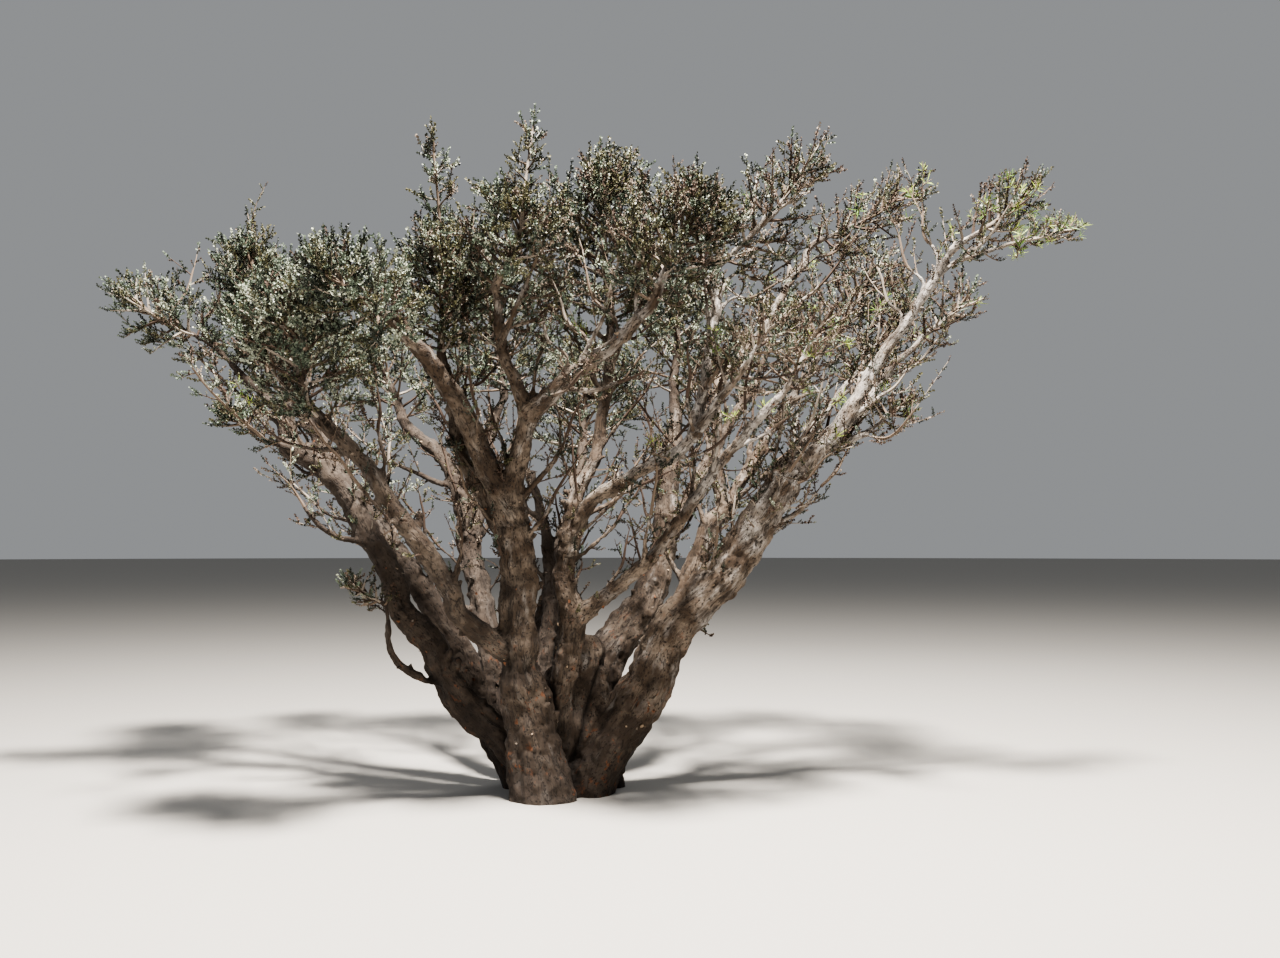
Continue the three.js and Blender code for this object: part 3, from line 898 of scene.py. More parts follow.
class Web:
    """A material's nodes: its shader, and the colour and relief that its coats build up."""

    def __init__(self, name: str, roughness: float, ior: float) -> None:
        """Starts a material.

        Args:
            name: its name.
            roughness: how matt it is.
            ior: its index of refraction.
        """
        self.material = bpy.data.materials.new(name)
        self.material.use_nodes = True
        self.tree = self.material.node_tree
        self.tree.nodes.clear()
        inputs = {"Roughness": roughness, "IOR": ior}
        self.shader = self.node("ShaderNodeBsdfPrincipled", inputs)
        self.node("ShaderNodeOutputMaterial", {"Surface": self.shader.outputs["BSDF"]})

    def node(
        self, kind: str, inputs: dict[str | int, object] | None = None, **settings: object
    ) -> Node:
        """Adds a node.

        Args:
            kind: its type.
            inputs: what feeds each input, a socket or a plain value.
            settings: its own settings.

        Returns:
            The node.
        """
        node = self.tree.nodes.new(kind)
        for name, value in settings.items():
            setattr(node, name, value)
        for name, value in (inputs or {}).items():
            if isinstance(value, NodeSocket):
                self.tree.links.new(value, node.inputs[name])
            else:
                node.inputs[name].default_value = value
        return node

    def drawn_out(self, run: NodeSocket, share: float) -> NodeSocket:
        """Returns the run of a limb, with its length shortened to a share."""
        inputs = {"Vector": run, "Scale": (1, 1, share)}
        return self.node("ShaderNodeMapping", inputs).outputs["Vector"]

    def noise(self, vector: NodeSocket, swells: Swells) -> NodeSocket:
        """Gives a noise.

        Args:
            vector: what it is laid over.
            swells: its sizes.

        Returns:
            The socket of a number from 0 to 1.
        """
        inputs = {
            "Vector": self.drawn_out(vector, swells.drawn) if swells.drawn else vector,
            "Scale": 1 / (swells.size_mm * MM),
            "Detail": swells.detail,
            "Roughness": swells.rough,
        }
        return self.node("ShaderNodeTexNoise", inputs).outputs["Fac"]

    def step(
        self, value: NodeSocket, low: float, high: float, ease: str = "SMOOTHSTEP"
    ) -> NodeSocket:
        """Returns a step from 0 at low to 1 at high."""
        inputs = {"Value": value, "From Min": low, "From Max": high}
        return self.node("ShaderNodeMapRange", inputs, interpolation_type=ease).outputs["Result"]

    def figure(self, kind: str, *sides: NodeSocket | float) -> NodeSocket:
        """Returns a sum, product or other figure of some values."""
        return self.node("ShaderNodeMath", dict(enumerate(sides)), operation=kind).outputs[0]

    def coat(self, coat: Coat, value: NodeSocket, mask: NodeSocket | None = None) -> None:
        """Lays a coat over the colour so far, and adds its lift to the relief.

        Args:
            coat: the coat.
            value: the figure that it spreads by.
            mask: what else keeps it to its place.
        """
        spread = self.step(value, coat.low, coat.high, coat.ease)
        if mask is not None:
            spread = self.figure("MULTIPLY", spread, mask)
        share = self.figure("MULTIPLY", spread, coat.share)
        inputs = {0: share, 6: self.colour, 7: linear(coat.colour)}
        self.colour = self.node("ShaderNodeMix", inputs, data_type="RGBA").outputs[2]
        if coat.lift:
            lift = self.figure("MULTIPLY", spread, coat.lift)
            self.relief = self.figure("ADD", self.relief, lift)


# Dark bark colours. The first is the mottle and the grain, and the painted shade on the back-left
# limbs and near the ground. The second is the cracks and the pits, and the painted shade in the
# hollows and the partings between stems.
SHADE = "#2c241e"
CRACK_AND_HOLLOW_SHADE = "#17110c"


@dataclass(frozen=True)
class PeelingBark:
    """Frankincense bark: worn by sun and rain, papery, and shed in flakes. It looks chalky,
    streaked along the limb, with rusty patches where a flake has come off and thin dark cracks
    between plates.
    Light and shade are painted on too: paler on the limbs at the front right, as painted sunlight,
    and darker on those at the back left, near the ground and in the hollows, as painted shade."""

    brown: str = "#43362a"
    patch: Swells = Swells(170, 4.0, 0.6)
    tan: Coat = Coat("#73675b", 0.42, 0.62)
    # Painted light and shade by where a limb stands: towards this side it is painted paler, as if
    # sunlit, and away from it darker, as if shaded by the crown.
    painted_light_side: Triple = (0.8, -0.9, 0.1)
    # Where the painted sunlight sets in along that figure, and how much it adds to the pale
    # streaks.
    painted_sun_span: Pair = (0.5, 1.9)
    painted_sun_span_share: float = 0.2
    streak: Swells = Swells(75, 4.0, 0.55, drawn=0.4)
    # Pale streaks: real bleached bark, spread wider on the front-right limbs as painted sunlight.
    bleached: Coat = Coat("#aca8a3", 0.53, 0.82, 0.66)
    mottle: Swells = Swells(42, 4.0, 0.6, drawn=0.55)
    mottled: Coat = Coat(SHADE, 0.53, 0.6, 0.45, lift=-0.4)
    # Painted shade on the limbs at the back left, away from the light.
    painted_far_shade: Coat = Coat(SHADE, 1.0, -0.5, 0.78)
    # Painted shade near the ground: darkest at the foot, gone by a metre up.
    low_down: Coat = Coat(SHADE, 1.0, 0.0, 0.75)
    flake: Swells = Swells(28, 5.0, 0.65, drawn=0.6)
    rusty: Coat = Coat("#6b4025", 0.55, 0.61, 0.8)
    rust_patch: Swells = Swells(170, 2.0, 0.55)
    rust_edges: Pair = (0.5, 0.62)
    rust_heights: Pair = (1.5, 0.5)
    split: Swells = Swells(34, 2.5, 0.5, drawn=0.2)
    cracked: Coat = Coat(CRACK_AND_HOLLOW_SHADE, 0.022, 0.0, 0.75, lift=-0.8)
    pit_mm: float = 20
    pit_drawn: float = 0.6
    pit_grain: float = -0.35
    pitted: Coat = Coat(CRACK_AND_HOLLOW_SHADE, 0.09, 0.0, 0.8, lift=-0.6)
    grain: Swells = Swells(9, 3.0, 0.6, drawn=0.5)  # real grain is finer than 1 mm: coarser to show
    grained: Coat = Coat(SHADE, 0.52, 0.64, 0.45)
    grain_lift: float = 0.5
    # Painted shade in the sunk hollows and the partings between stems.
    painted_hollow_shade: Coat = Coat(CRACK_AND_HOLLOW_SHADE, 0.0, 1.0, 0.85, ease="LINEAR")
    relief_mm: float = 6
    relief_strength: float = 0.85
    roughness: float = 0.9
    ior: float = 1.45

    def material(self) -> Material:
        """Builds the material.

        Returns:
            A material whose streaks follow the limb by the attribute run.
        """
        web = Web("peeling_frankincense_bark", self.roughness, self.ior)
        place = web.node("ShaderNodeTexCoord").outputs["Object"]
        run = web.node("ShaderNodeAttribute", attribute_name="run").outputs["Vector"]
        # The attribute hollow: how much painted shade a point gets in a hollow or a parting.
        hollow = web.node("ShaderNodeAttribute", attribute_name="hollow").outputs["Fac"]
        height = web.node("ShaderNodeSeparateXYZ", {"Vector": place}).outputs["Z"]
        # A figure of how far a point stands towards the lit front right: it drives the painted
        # sunlight and the painted shade.
        sides = {0: place, 1: self.painted_light_side}
        dot = web.node("ShaderNodeVectorMath", sides, operation="DOT_PRODUCT")
        painted_light = dot.outputs["Value"]
        painted_sun_mask = web.figure("MULTIPLY", web.step(painted_light, *self.painted_sun_span), self.painted_sun_span_share)
        rust = web.step(web.noise(place, self.rust_patch), *self.rust_edges)
        rust = web.figure("MULTIPLY", rust, web.step(height, *self.rust_heights))
        split = web.figure("SUBTRACT", web.noise(run, self.split), 0.5)
        grain = web.noise(run, self.grain)
        spots = {"Vector": web.drawn_out(run, self.pit_drawn), "Scale": 1 / (self.pit_mm * MM)}
        cells = web.node("ShaderNodeTexVoronoi", spots).outputs["Distance"]
        web.colour = linear(self.brown)
        web.relief = web.figure("MULTIPLY", grain, self.grain_lift)
        web.coat(self.tan, web.noise(place, self.patch))
        # Pale streaks: partly real bleaching, and partly painted sunlight on the front-right limbs.
        web.coat(self.bleached, web.figure("ADD", web.noise(run, self.streak), painted_sun_mask))
        web.coat(self.mottled, web.noise(run, self.mottle))
        # Painted shade: darker on the back-left limbs.
        web.coat(self.painted_far_shade, painted_light)
        # Painted shade, darker towards the ground.
        web.coat(self.low_down, height)
        web.coat(self.rusty, web.noise(run, self.flake), rust)
        web.coat(self.cracked, web.figure("ABSOLUTE", split))
        ragged = web.figure("MULTIPLY", grain, self.pit_grain)
        web.coat(self.pitted, web.figure("ADD", cells, ragged))
        web.coat(self.grained, grain)
        # Painted shade in the hollows and the partings between stems.
        web.coat(self.painted_hollow_shade, hollow)
        bumps = {
            "Height": web.relief,
            "Strength": self.relief_strength,
            "Distance": self.relief_mm * MM,
        }
        bump = web.node("ShaderNodeBump", bumps).outputs["Normal"]
        web.tree.links.new(web.colour, web.shader.inputs["Base Color"])
        web.tree.links.new(bump, web.shader.inputs["Normal"])
        return web.material


@dataclass(frozen=True)
class PlainSkin:
    """A small piece's finish: one plain colour and a dry, matt face."""

    name: str
    colour: str
    roughness: float
    ior: float = 1.45

    def material(self) -> Material:
        """Builds the material.

        Returns:
            A material with values on its own sockets alone.
        """
        web = Web(self.name, self.roughness, self.ior)
        web.shader.inputs["Base Color"].default_value = linear(self.colour)
        return web.material


# Leaves have a waxy, hairy cuticle: matt, a little pale, and never glossy.
LEAF_SKINS = {
    Tone.GREY_GREEN: PlainSkin("hairy_leaf_grey_green", "#545f50", 0.5),
    # Pale: hairy leaves, and partly a painted highlight.
    Tone.PALE: PlainSkin("hairy_leaf_pale", "#8f9584", 0.5),
    Tone.OLIVE: PlainSkin("hairy_leaf_olive", "#4a4830", 0.52),
    # Near-black: painted shade among the leaves.
    Tone.DEEP: PlainSkin("hairy_leaf_deep", "#1f251a", 0.5),
    Tone.DRY: PlainSkin("dried_leaf_brown", "#43342a", 0.8),
    Tone.DUSTY: PlainSkin("dried_leaf_dusty", "#74685c", 0.85),
}
# A young leaf is thin and soft, and shines a little more.
FRESH_SKINS = (
    PlainSkin("young_leaf_green", "#5f7d34", 0.5),
    PlainSkin("young_leaf_yellow", "#86983f", 0.5),
)
# A twig's bark is young and smooth, and bleaches to grey.
TWIG_SKINS = (
    PlainSkin("twig_bark_bleached", "#857c72", 0.85),
    PlainSkin("twig_bark_tan", "#5f5246", 0.88),
    PlainSkin("twig_bark_brown", "#3d3027", 0.9),
)
# A shed flake of bark is papery: straw outside, rusty within.
PEEL_SKINS = (
    PlainSkin("papery_flake_straw", "#8a7864", 0.8),
    PlainSkin("papery_flake_rust", "#66432d", 0.85),
    PlainSkin("papery_flake_grey", "#71665b", 0.85),
)


@dataclass
class Stamp:
    """A small shape that is copied many times: its corners and its three-sided faces."""

    corners: Array
    faces: Array

    @classmethod
    def taken(cls, bm: BMesh) -> Stamp:
        """Takes a finished mesh as a stamp, and frees it.

        Args:
            bm: the mesh.

        Returns:
            The stamp.
        """
        bmesh.ops.triangulate(bm, faces=bm.faces[:])
        bm.verts.index_update()
        corners = np.array([v.co[:] for v in bm.verts])
        faces = np.array([[v.index for v in f.verts] for f in bm.faces])
        bm.free()
        return cls(corners, faces)


class Pile:
    """Many small copies that are joined into one mesh, each copy with a finish of its own."""

    def __init__(self) -> None:
        """Starts an empty pile."""
        self.corners: list[Array] = []
        self.faces: list[Array] = []
        self.slots: list[Array] = []
        self.count = 0

    def lay(self, corners: Array, faces: Array, slots: Array | int) -> None:
        """Lays a shape on the pile.

        Args:
            corners: rows of points.
            faces: rows of three places in corners.
            slots: the finish of every face, or one for all.
        """
        self.corners.append(corners)
        self.faces.append(faces + self.count)
        self.slots.append(np.broadcast_to(slots, len(faces)))
        self.count += len(corners)

    def copies(self, stamp: Stamp, roots: Array, frames: Array, sizes: Array, slots: Array) -> None:
        """Lays a stamp many times.

        Args:
            stamp: the shape.
            roots: rows of points that its own origin goes to.
            frames: the three directions that its axes turn to, as columns, for each copy.
            sizes: the size of each copy.
            slots: the finish of each copy.
        """
        placed = np.einsum("kij,nj->kni", frames, stamp.corners)
        placed = placed * sizes[:, None, None] + roots[:, None, :]
        shift = np.arange(len(roots)) * len(stamp.corners)
        faces = stamp.faces[None] + shift[:, None, None]
        self.lay(placed.reshape(-1, 3), faces.reshape(-1, 3), np.repeat(slots, len(stamp.faces)))

    def triangles(self) -> int:
        """Returns how many faces the pile holds."""
        return sum(len(f) for f in self.faces)

    def piece(self, name: str, materials: list[Material]) -> Object:
        """Joins the pile into one piece with flat faces.

        Args:
            name: the piece's name.
            materials: its finishes, in the order of the slots.

        Returns:
            The piece.
        """
        corners, faces = np.vstack(self.corners), np.vstack(self.faces)
        mesh = bpy.data.meshes.new(name)
        mesh.vertices.add(len(corners))
        mesh.vertices.foreach_set("co", corners.astype(np.float32).ravel())
        mesh.loops.add(faces.size)
        mesh.loops.foreach_set("vertex_index", faces.astype(np.int32).ravel())
        mesh.polygons.add(len(faces))
        mesh.polygons.foreach_set("loop_start", np.arange(0, faces.size, 3, dtype=np.int32))
        mesh.polygons.foreach_set("use_smooth", np.zeros(len(faces), bool))
        for material in materials:
            mesh.materials.append(material)
        mesh.polygons.foreach_set("material_index", np.concatenate(self.slots).astype(np.int32))
        mesh.update(calc_edges=True)
        return shown(name, mesh)


def shown(name: str, mesh: Mesh) -> Object:
    """Shows a mesh as an object.

    Args:
        name: the object's name.
        mesh: its mesh.

    Returns:
        The object, at the origin.
    """
    piece = bpy.data.objects.new(name, mesh)
    bpy.context.scene.collection.objects.link(piece)
    return piece


def kept(piece: Object, nodes: list[str]) -> None:
    """Makes a piece part of the tree.

    Args:
        piece: the piece.
        nodes: the solids that it stands for.
    """
    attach(piece, "root")
    if nodes:
        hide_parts(*nodes)


def raised(bm: BMesh, edges: list[BMEdge]) -> tuple[list[BMVert], list[BMEdge]]:
    """Extrudes a ring of edges, without moving it.

    Args:
        bm: the mesh.
        edges: the ring.

    Returns:
        The new ring's corners and edges.
    """
    out = bmesh.ops.extrude_edge_only(bm, edges=edges)["geom"]
    verts = [g for g in out if isinstance(g, BMVert)]
    fresh = set(verts)
    return verts, [g for g in out if isinstance(g, BMEdge) and set(g.verts) <= fresh]


def closed(bm: BMesh, edges: list[BMEdge]) -> None:
    """Closes a mesh at a ring of edges, and turns its faces outward."""
    bmesh.ops.contextual_create(bm, geom=edges)
    bmesh.ops.recalc_face_normals(bm, faces=bm.faces[:])


def smoothed(bm: BMesh, verts: list[BMVert], times: int) -> None:
    """Smooths some points, so many times."""
    axes = {f"use_axis_{axis}": True for axis in "xyz"}
    for _ in range(times):
        bmesh.ops.smooth_vert(bm, verts=verts, factor=0.5, **axes)


class Rod:
    """A straight rod, one unit long and of unit radius, that is bent along many lines."""

    def __init__(self, sides: int, parts: int) -> None:
        """Makes the rod.

        Args:
            sides: the sides round it.
            parts: the parts along it.
        """
        bm = bmesh.new()
        bmesh.ops.create_circle(bm, cap_ends=True, segments=sides, radius=1.0)
        edges = bm.edges[:]
        for _ in range(parts):
            verts, edges = raised(bm, edges)
            bmesh.ops.translate(bm, verts=verts, vec=(0, 0, 1 / parts))
        closed(bm, edges)
        self.stamp = Stamp.taken(bm)
        heights = np.round(self.stamp.corners[:, 2], 5)
        self.shares, self.ring = np.unique(heights, return_inverse=True)

    def lay_on(self, pile: Pile, line: Course | Arc, start: float, end: float, slot: int) -> None:
        """Bends the rod along a stretch of a line, and lays it on a pile.

        Args:
            pile: the pile.
            line: the line.
            start: the length at which the stretch begins.
            end: the length at which it ends.
            slot: its finish.
        """
        along = start + (end - start) * self.shares
        centres, across, beside, _ = line.frames(along)
        radii = line.radius(along)
        x, y = self.stamp.corners[:, 0], self.stamp.corners[:, 1]
        ring = self.ring
        points = (
            centres[ring]
            + across[ring] * (x * radii[ring])[:, None]
            + beside[ring] * (y * radii[ring])[:, None]
        )
        pile.lay(points, self.stamp.faces, slot)


def point_rows(mesh: Mesh, key: str) -> Array:
    """Reads three numbers from each point of a mesh.

    Args:
        mesh: the mesh.
        key: which, such as co.

    Returns:
        Rows of three numbers.
    """
    numbers = np.zeros(len(mesh.vertices) * 3, np.float32)
    mesh.vertices.foreach_get(key, numbers)
    return numbers.reshape(-1, 3).astype(float)


@dataclass(frozen=True)
class Relief:
    """How far the skin stands out, and how much painted shade lies in its hollows and partings.

    Widths and heights are in metres. Flutes, plates and seams follow the limb, by their widths
    across, beside and along it. On slim limbs they are smaller, by a scale between two ends. A
    parting is the groove between two stems, near the ground. Near the ground all relief fades.
    """

    lump_widths: Pair = (0.14, 0.06)
    lump_share: float = 0.17
    full_girth: float = 0.1
    scale_ends: Pair = (0.25, 1.2)
    flute_widths: Triple = (0.055, 0.055, 0.55)
    flute_heights: Pair = (0.004, 0.022)
    flute_fade: Pair = (0.5, 1.9)
    plate_widths: Triple = (0.04, 0.04, 0.09)
    plate_edge: Pair = (0.02, 0.2)
    plate_height: float = 0.006
    seam_widths: Triple = (0.034, 0.034, 0.2)
    seam_edge: Pair = (0.0, 0.18)
    seam_depth: float = 0.006
    wart_width: float = 0.045
    wart_heights: Pair = (0.003, 0.005)
    grit_width: float = 0.024
    grit_height: float = 0.0032
    parting_fade: Pair = (0.7, 1.15)
    parting_edge: Pair = (0.0, 0.06)
    parting_depth: float = 0.03
    ground_fade: Pair = (0.0, 0.3)
    ground_share: float = 0.4
    # The painted shade of the hollows: how deep a hollow must sink, as a depth and a share of
    # girth, its edge, and its strength.
    sunk_depths: Pair = (0.012, 0.08)
    sunk_edge: Pair = (-1.0, 0.1)
    sunk_share: float = 0.55

    def shape(
        self, points: Array, run: Array, girth: Array, gap: Array, knots: Array
    ) -> tuple[Array, Array]:
        """Works the relief out, point by point.

        Args:
            points: the skin's points.
            run: where each is across, beside and along its limb.
            girth: the limb's radius.
            gap: how much farther the next limb's skin is than the point's own.
            knots: the height of the knots.

        Returns:
            How far each point stands out, and how much painted shade it gets in a hollow or a
            parting, from 0 to 1.
        """
        scale = np.clip(girth / self.full_girth, *self.scale_ends)
        wide, narrow = self.lump_widths
        lumps = ripple(points / wide, 1) * 0.5 + ripple(points / narrow, 2) * 0.5
        height = lumps * girth * self.lump_share
        low_down = 1 - eased(points[:, 2], *self.flute_fade)
        least, more = self.flute_heights
        height += ripple(run / self.flute_widths, 3) * scale * (least + more * low_down)
        plates = eased(ripple(run / self.plate_widths, 4), *self.plate_edge)
        height += plates * self.plate_height * scale
        seams = 1 - eased(np.abs(ripple(run / self.seam_widths, 6)), *self.seam_edge)
        height -= seams * self.seam_depth * scale
        least, more = self.wart_heights
        height += ripple(points / self.wart_width, 7) * (least + more * scale)
        height += ripple(points / self.grit_width, 8) * self.grit_height
        height += knots
        low_down = 1 - eased(points[:, 2], *self.parting_fade)
        parting = (1 - eased(gap, *self.parting_edge)) * low_down
        faded = self.ground_share + (1 - self.ground_share) * eased(points[:, 2], *self.ground_fade)
        height = height * faded - parting * self.parting_depth
        least, more = self.sunk_depths
        hollow = 1 - eased(height / (least + girth * more), *self.sunk_edge)
        return height, np.maximum(parting, hollow * self.sunk_share)


@dataclass
class Bark:
    """The trunk, stems, boughs and the thick part of each stalk, fused and given their relief.

    The stock is the block that the stems leave: rings of (radius, height, shift) in millimetres.
    """

    skeleton: Skeleton
    relief: Relief = Relief()
    voxel: float = 0.0115
    smoothing: int = 2
    crease: float = 0.045
    crease_smoothing: int = 7
    sides: int = 16
    rod_parts: tuple[int, ...] = (4, 8, 16, 32, 64, 128)
    ring_step: float = 0.035
    stock_sides: int = 28
    stock: tuple[Triple, ...] = (
        (290, -90, -50),
        (290, 0, -50),
        (305, 130, -50),
        (320, 390, -40),
        (300, 520, -25),
        (240, 650, 10),
        (185, 780, 50),
        (140, 900, 85),
        (80, 1010, 110),
    )
    stock_depth: float = 0.66
    stock_back: float = 45
    thinnest: float = 0.0145
    offshoot_end: float = 0.0105
    least_share: float = 0.15
    cell: float = 0.2
    mark_step: float = 0.03
    pattern_shift: float = 0.37
    trunk_rise: float = 0.8
    knots: int = 340
    knot_least: float = 0.03
    knot_places: Pair = (0.06, 0.94)
    knot_sizes: Pair = (0.22, 0.42)
    knot_heights: Pair = (0.3, 0.6)
    knot_reach: float = 3
    eye_width: float = 0.42
    eye_depth: float = 1.1
    stub_step: float = 0.15
    stub_start: Pair = (0.5, 1.5)
    stub_gap: Pair = (0.4, 1.8)
    stub_end: float = 0.96
    stub_foot: float = 0.4
    stub_girths: Pair = (0.009, 0.026)
    stub_share: float = 0.45
    stub_slimmed: Pair = (0.6, 1)
    stub_taper: Pair = (1.2, 0.8)
    stub_lean: Pair = (35, 80)
    stub_rise: Pair = (0, 0.25)
    stub_length: Pair = (0.8, 3.2)
    ray: float = 2.2
    seed: int = 5

    def build(self, finish: PeelingBark) -> dict[str, Object]:
        """Builds the bark.

        Args:
            finish: its finish.

        Returns:
            The pieces by the side that they are on.
        """
        self._list_limbs()
        mesh = self._fused()
        self._raise_relief(mesh)
        self.tree = BVHTree.FromPolygons(
            [v.co for v in mesh.vertices], [p.vertices[:] for p in mesh.polygons]
        )
        material = finish.material()
        return {side: self._part(mesh, k, side, material) for k, side in enumerate(SIDES)}

    def _list_limbs(self) -> None:
        """Lists the courses that are fused, with the length of each that is thick enough."""
        order = {side: number for number, side in enumerate(SIDES)}
        self.limbs: list[tuple[Course, float, int]] = []
        for name, limb in LIMBS.items():
            course = self.skeleton.courses[name]
            self.limbs.append((course, course.length, order[limb.side]))
        for name, stalk in self.skeleton.stalks.items():
            end = stalk.length * stalk.share_over(self.thinnest)
            self.limbs.append((stalk, end, order[LIMBS[MASSES[name].on].side]))
        self.stout = list(self.limbs)
        for offshoot in self.skeleton.offshoots:
            share = offshoot.course.share_over(self.offshoot_end)
            if share > self.least_share:
                end = offshoot.course.length * share
                self.limbs.append((offshoot.course, end, order[offshoot.side]))

    def _stubs(self) -> list[Course]:
        """Lays the stubs of broken twigs.

        Returns:
            Their courses.
        """
        dice = Dice(self.seed + 1)
        least, most = self.stub_girths
        stubs = []
        for course, end, _ in self.stout:
            along = self.stub_step * dice.uniform(*self.stub_start)
            while along < end * self.stub_end:
                radius = float(course.radius(along))
                girth = min(most, radius * self.stub_share) * dice.uniform(*self.stub_slimmed)
                lean, turn = dice.uniform(*self.stub_lean), dice.uniform(0, 360)
                ahead = turned_off(course.ahead(along), lean, turn)
                length = radius + girth * dice.uniform(*self.stub_length)
                start = course.at(along)
                if girth > least and start[2] > self.stub_foot:
                    tip = start + ahead * length + UP * length * dice.uniform(*self.stub_rise)
                    middle = start + ahead * length * 0.5
                    ends = (girth * self.stub_taper[0], girth * self.stub_taper[1])
                    stubs.append(Course([start, middle, tip], ends, 0, 1))
                along += self.stub_step * dice.uniform(*self.stub_gap)
        return stubs

    def _add_stock(self, pile: Pile) -> None:
        """Adds the block that the stems leave: a circle drawn up through its widths.

        Args:
            pile: the pile that it goes on.
        """
        bm = bmesh.new()
        (radius, height, off), *widths = self.stock
        bmesh.ops.create_circle(bm, cap_ends=True, segments=self.stock_sides, radius=radius * MM)
        bmesh.ops.translate(bm, verts=bm.verts[:], vec=(off * MM, 0, height * MM))
        edges = bm.edges[:]
        for wider, higher, aside in widths:
            verts, edges = raised(bm, edges)
            for vert in verts:
                vert.co.x = aside * MM + (vert.co.x - off * MM) * (wider / radius)
                vert.co.y *= wider / radius
                vert.co.z = higher * MM
            radius, off = wider, aside
        closed(bm, edges)
        bmesh.ops.scale(bm, verts=bm.verts[:], vec=(1, self.stock_depth, 1))
        bmesh.ops.translate(bm, verts=bm.verts[:], vec=(0, self.stock_back * MM, 0))
        stamp = Stamp.taken(bm)
        pile.lay(stamp.corners, stamp.faces, 0)

    def _fused(self) -> Mesh:
        """Fuses every limb into one skin of even faces.

        Returns:
            The mesh.
        """
        rods = {parts: Rod(self.sides, parts) for parts in self.rod_parts}
        pile = Pile()
        for course, end, _ in self.limbs:
            parts = min(rods, key=lambda k: abs(k - end / self.ring_step))
            rods[parts].lay_on(pile, course, 0, end, 0)
        for stub in self._stubs():
            rods[self.rod_parts[0]].lay_on(pile, stub, 0, stub.length, 0)
        self._add_stock(pile)
        rough = pile.piece("limbs", [])
        remesh = rough.modifiers.new("even", "REMESH")
        remesh.mode = "VOXEL"
        remesh.voxel_size = self.voxel
        remesh.use_smooth_shade = True
        evaluated = rough.evaluated_get(bpy.context.evaluated_depsgraph_get())
        fused = bpy.data.meshes.new_from_object(evaluated)
        bpy.data.objects.remove(rough)
        self._find_limbs(point_rows(fused, "co"))
        bm = bmesh.new()
        bm.from_mesh(fused)
        creased = self.gap < self.crease
        near = [v for v, held in zip(bm.verts, creased) if held and v.co.z > self.trunk_rise]
        smoothed(bm, bm.verts[:], self.smoothing)
        smoothed(bm, near, self.crease_smoothing)
        bm.to_mesh(fused)
        bm.free()
        return fused

    def _find_limbs(self, points: Array) -> None:
        """Finds the limb that each point of the skin lies on, and where on it.

        Args:
            points: the skin's points.
        """
        rows, owners, alongs = [], [], []
        for index, (course, end, _) in enumerate(self.limbs):
            along = np.linspace(0, end, max(2, math.ceil(end / self.mark_step)))
            rows.append((*course.frames(along), course.radius(along)))
            owners += [index] * len(along)
            alongs.append(along)
        centres, across, beside, ahead = (np.vstack([r[k] for r in rows]) for k in range(4))
        radii = np.concatenate([r[4] for r in rows])
        alongs = np.concatenate(alongs)
        owners = np.array(owners)
        own = np.zeros(len(points), int)
        gap = np.full(len(points), self.cell)
        cells = np.floor(points / self.cell).astype(int)
        names, which = np.unique(cells, axis=0, return_inverse=True)
        order = np.argsort(which.ravel(), kind="stable")
        ends = np.cumsum(np.bincount(which.ravel()))
        for name, first, last in zip(names, np.concatenate([[0], ends]), ends):
            some = order[first:last]
            middle = (name + 0.5) * self.cell
            far = np.linalg.norm(centres - middle, axis=1) - radii
            near = np.flatnonzero(far < far.min() + 2 * self.cell)
            apart = np.linalg.norm(points[some, None] - centres[None, near], axis=2) - radii[near]
            own[some] = near[apart.argmin(axis=1)]
            starts = np.flatnonzero(np.diff(owners[near], prepend=-1))
            if len(starts) > 1:
                best = np.sort(np.minimum.reduceat(apart, starts, axis=1), axis=1)
                gap[some] = best[:, 1] - best[:, 0]
        off = points - centres[own]
        self.own, self.gap, self.radius = owners[own], gap, radii[own]
        ways = [np.sum(off * way[own], axis=1) for way in (across, beside, ahead)]
        ways[2] = ways[2] + alongs[own] + self.pattern_shift * self.own
        self.run = np.column_stack(ways)

    def _raise_relief(self, mesh: Mesh) -> None:
        """Moves the skin's points to give it its relief, and marks each with what the finish reads.

        Args:
            mesh: the fused skin.
        """
        points, normals = point_rows(mesh, "co"), point_rows(mesh, "normal")
        self._find_limbs(points)
        knots = self._knot_heights(points)
        # hollow is the share of painted shade: in the sunk hollows, and in the partings between
        # stems.
        height, hollow = self.relief.shape(points, self.run, self.radius, self.gap, knots)
        sides = np.array([side for _, _, side in self.limbs])[self.own]
        sides[points[:, 2] < self.trunk_rise] = 0
        for name, kind, key, numbers in (
            ("hollow", "FLOAT", "value", hollow.astype(np.float32)),
            ("run", "FLOAT_VECTOR", "vector", self.run.astype(np.float32)),
            ("side", "INT", "value", sides.astype(np.int32)),
        ):
            mesh.attributes.new(name, kind, "POINT").data.foreach_set(key, numbers.ravel())
        moved = points + normals * height[:, None]
        mesh.vertices.foreach_set("co", moved.astype(np.float32).ravel())
        mesh.update()

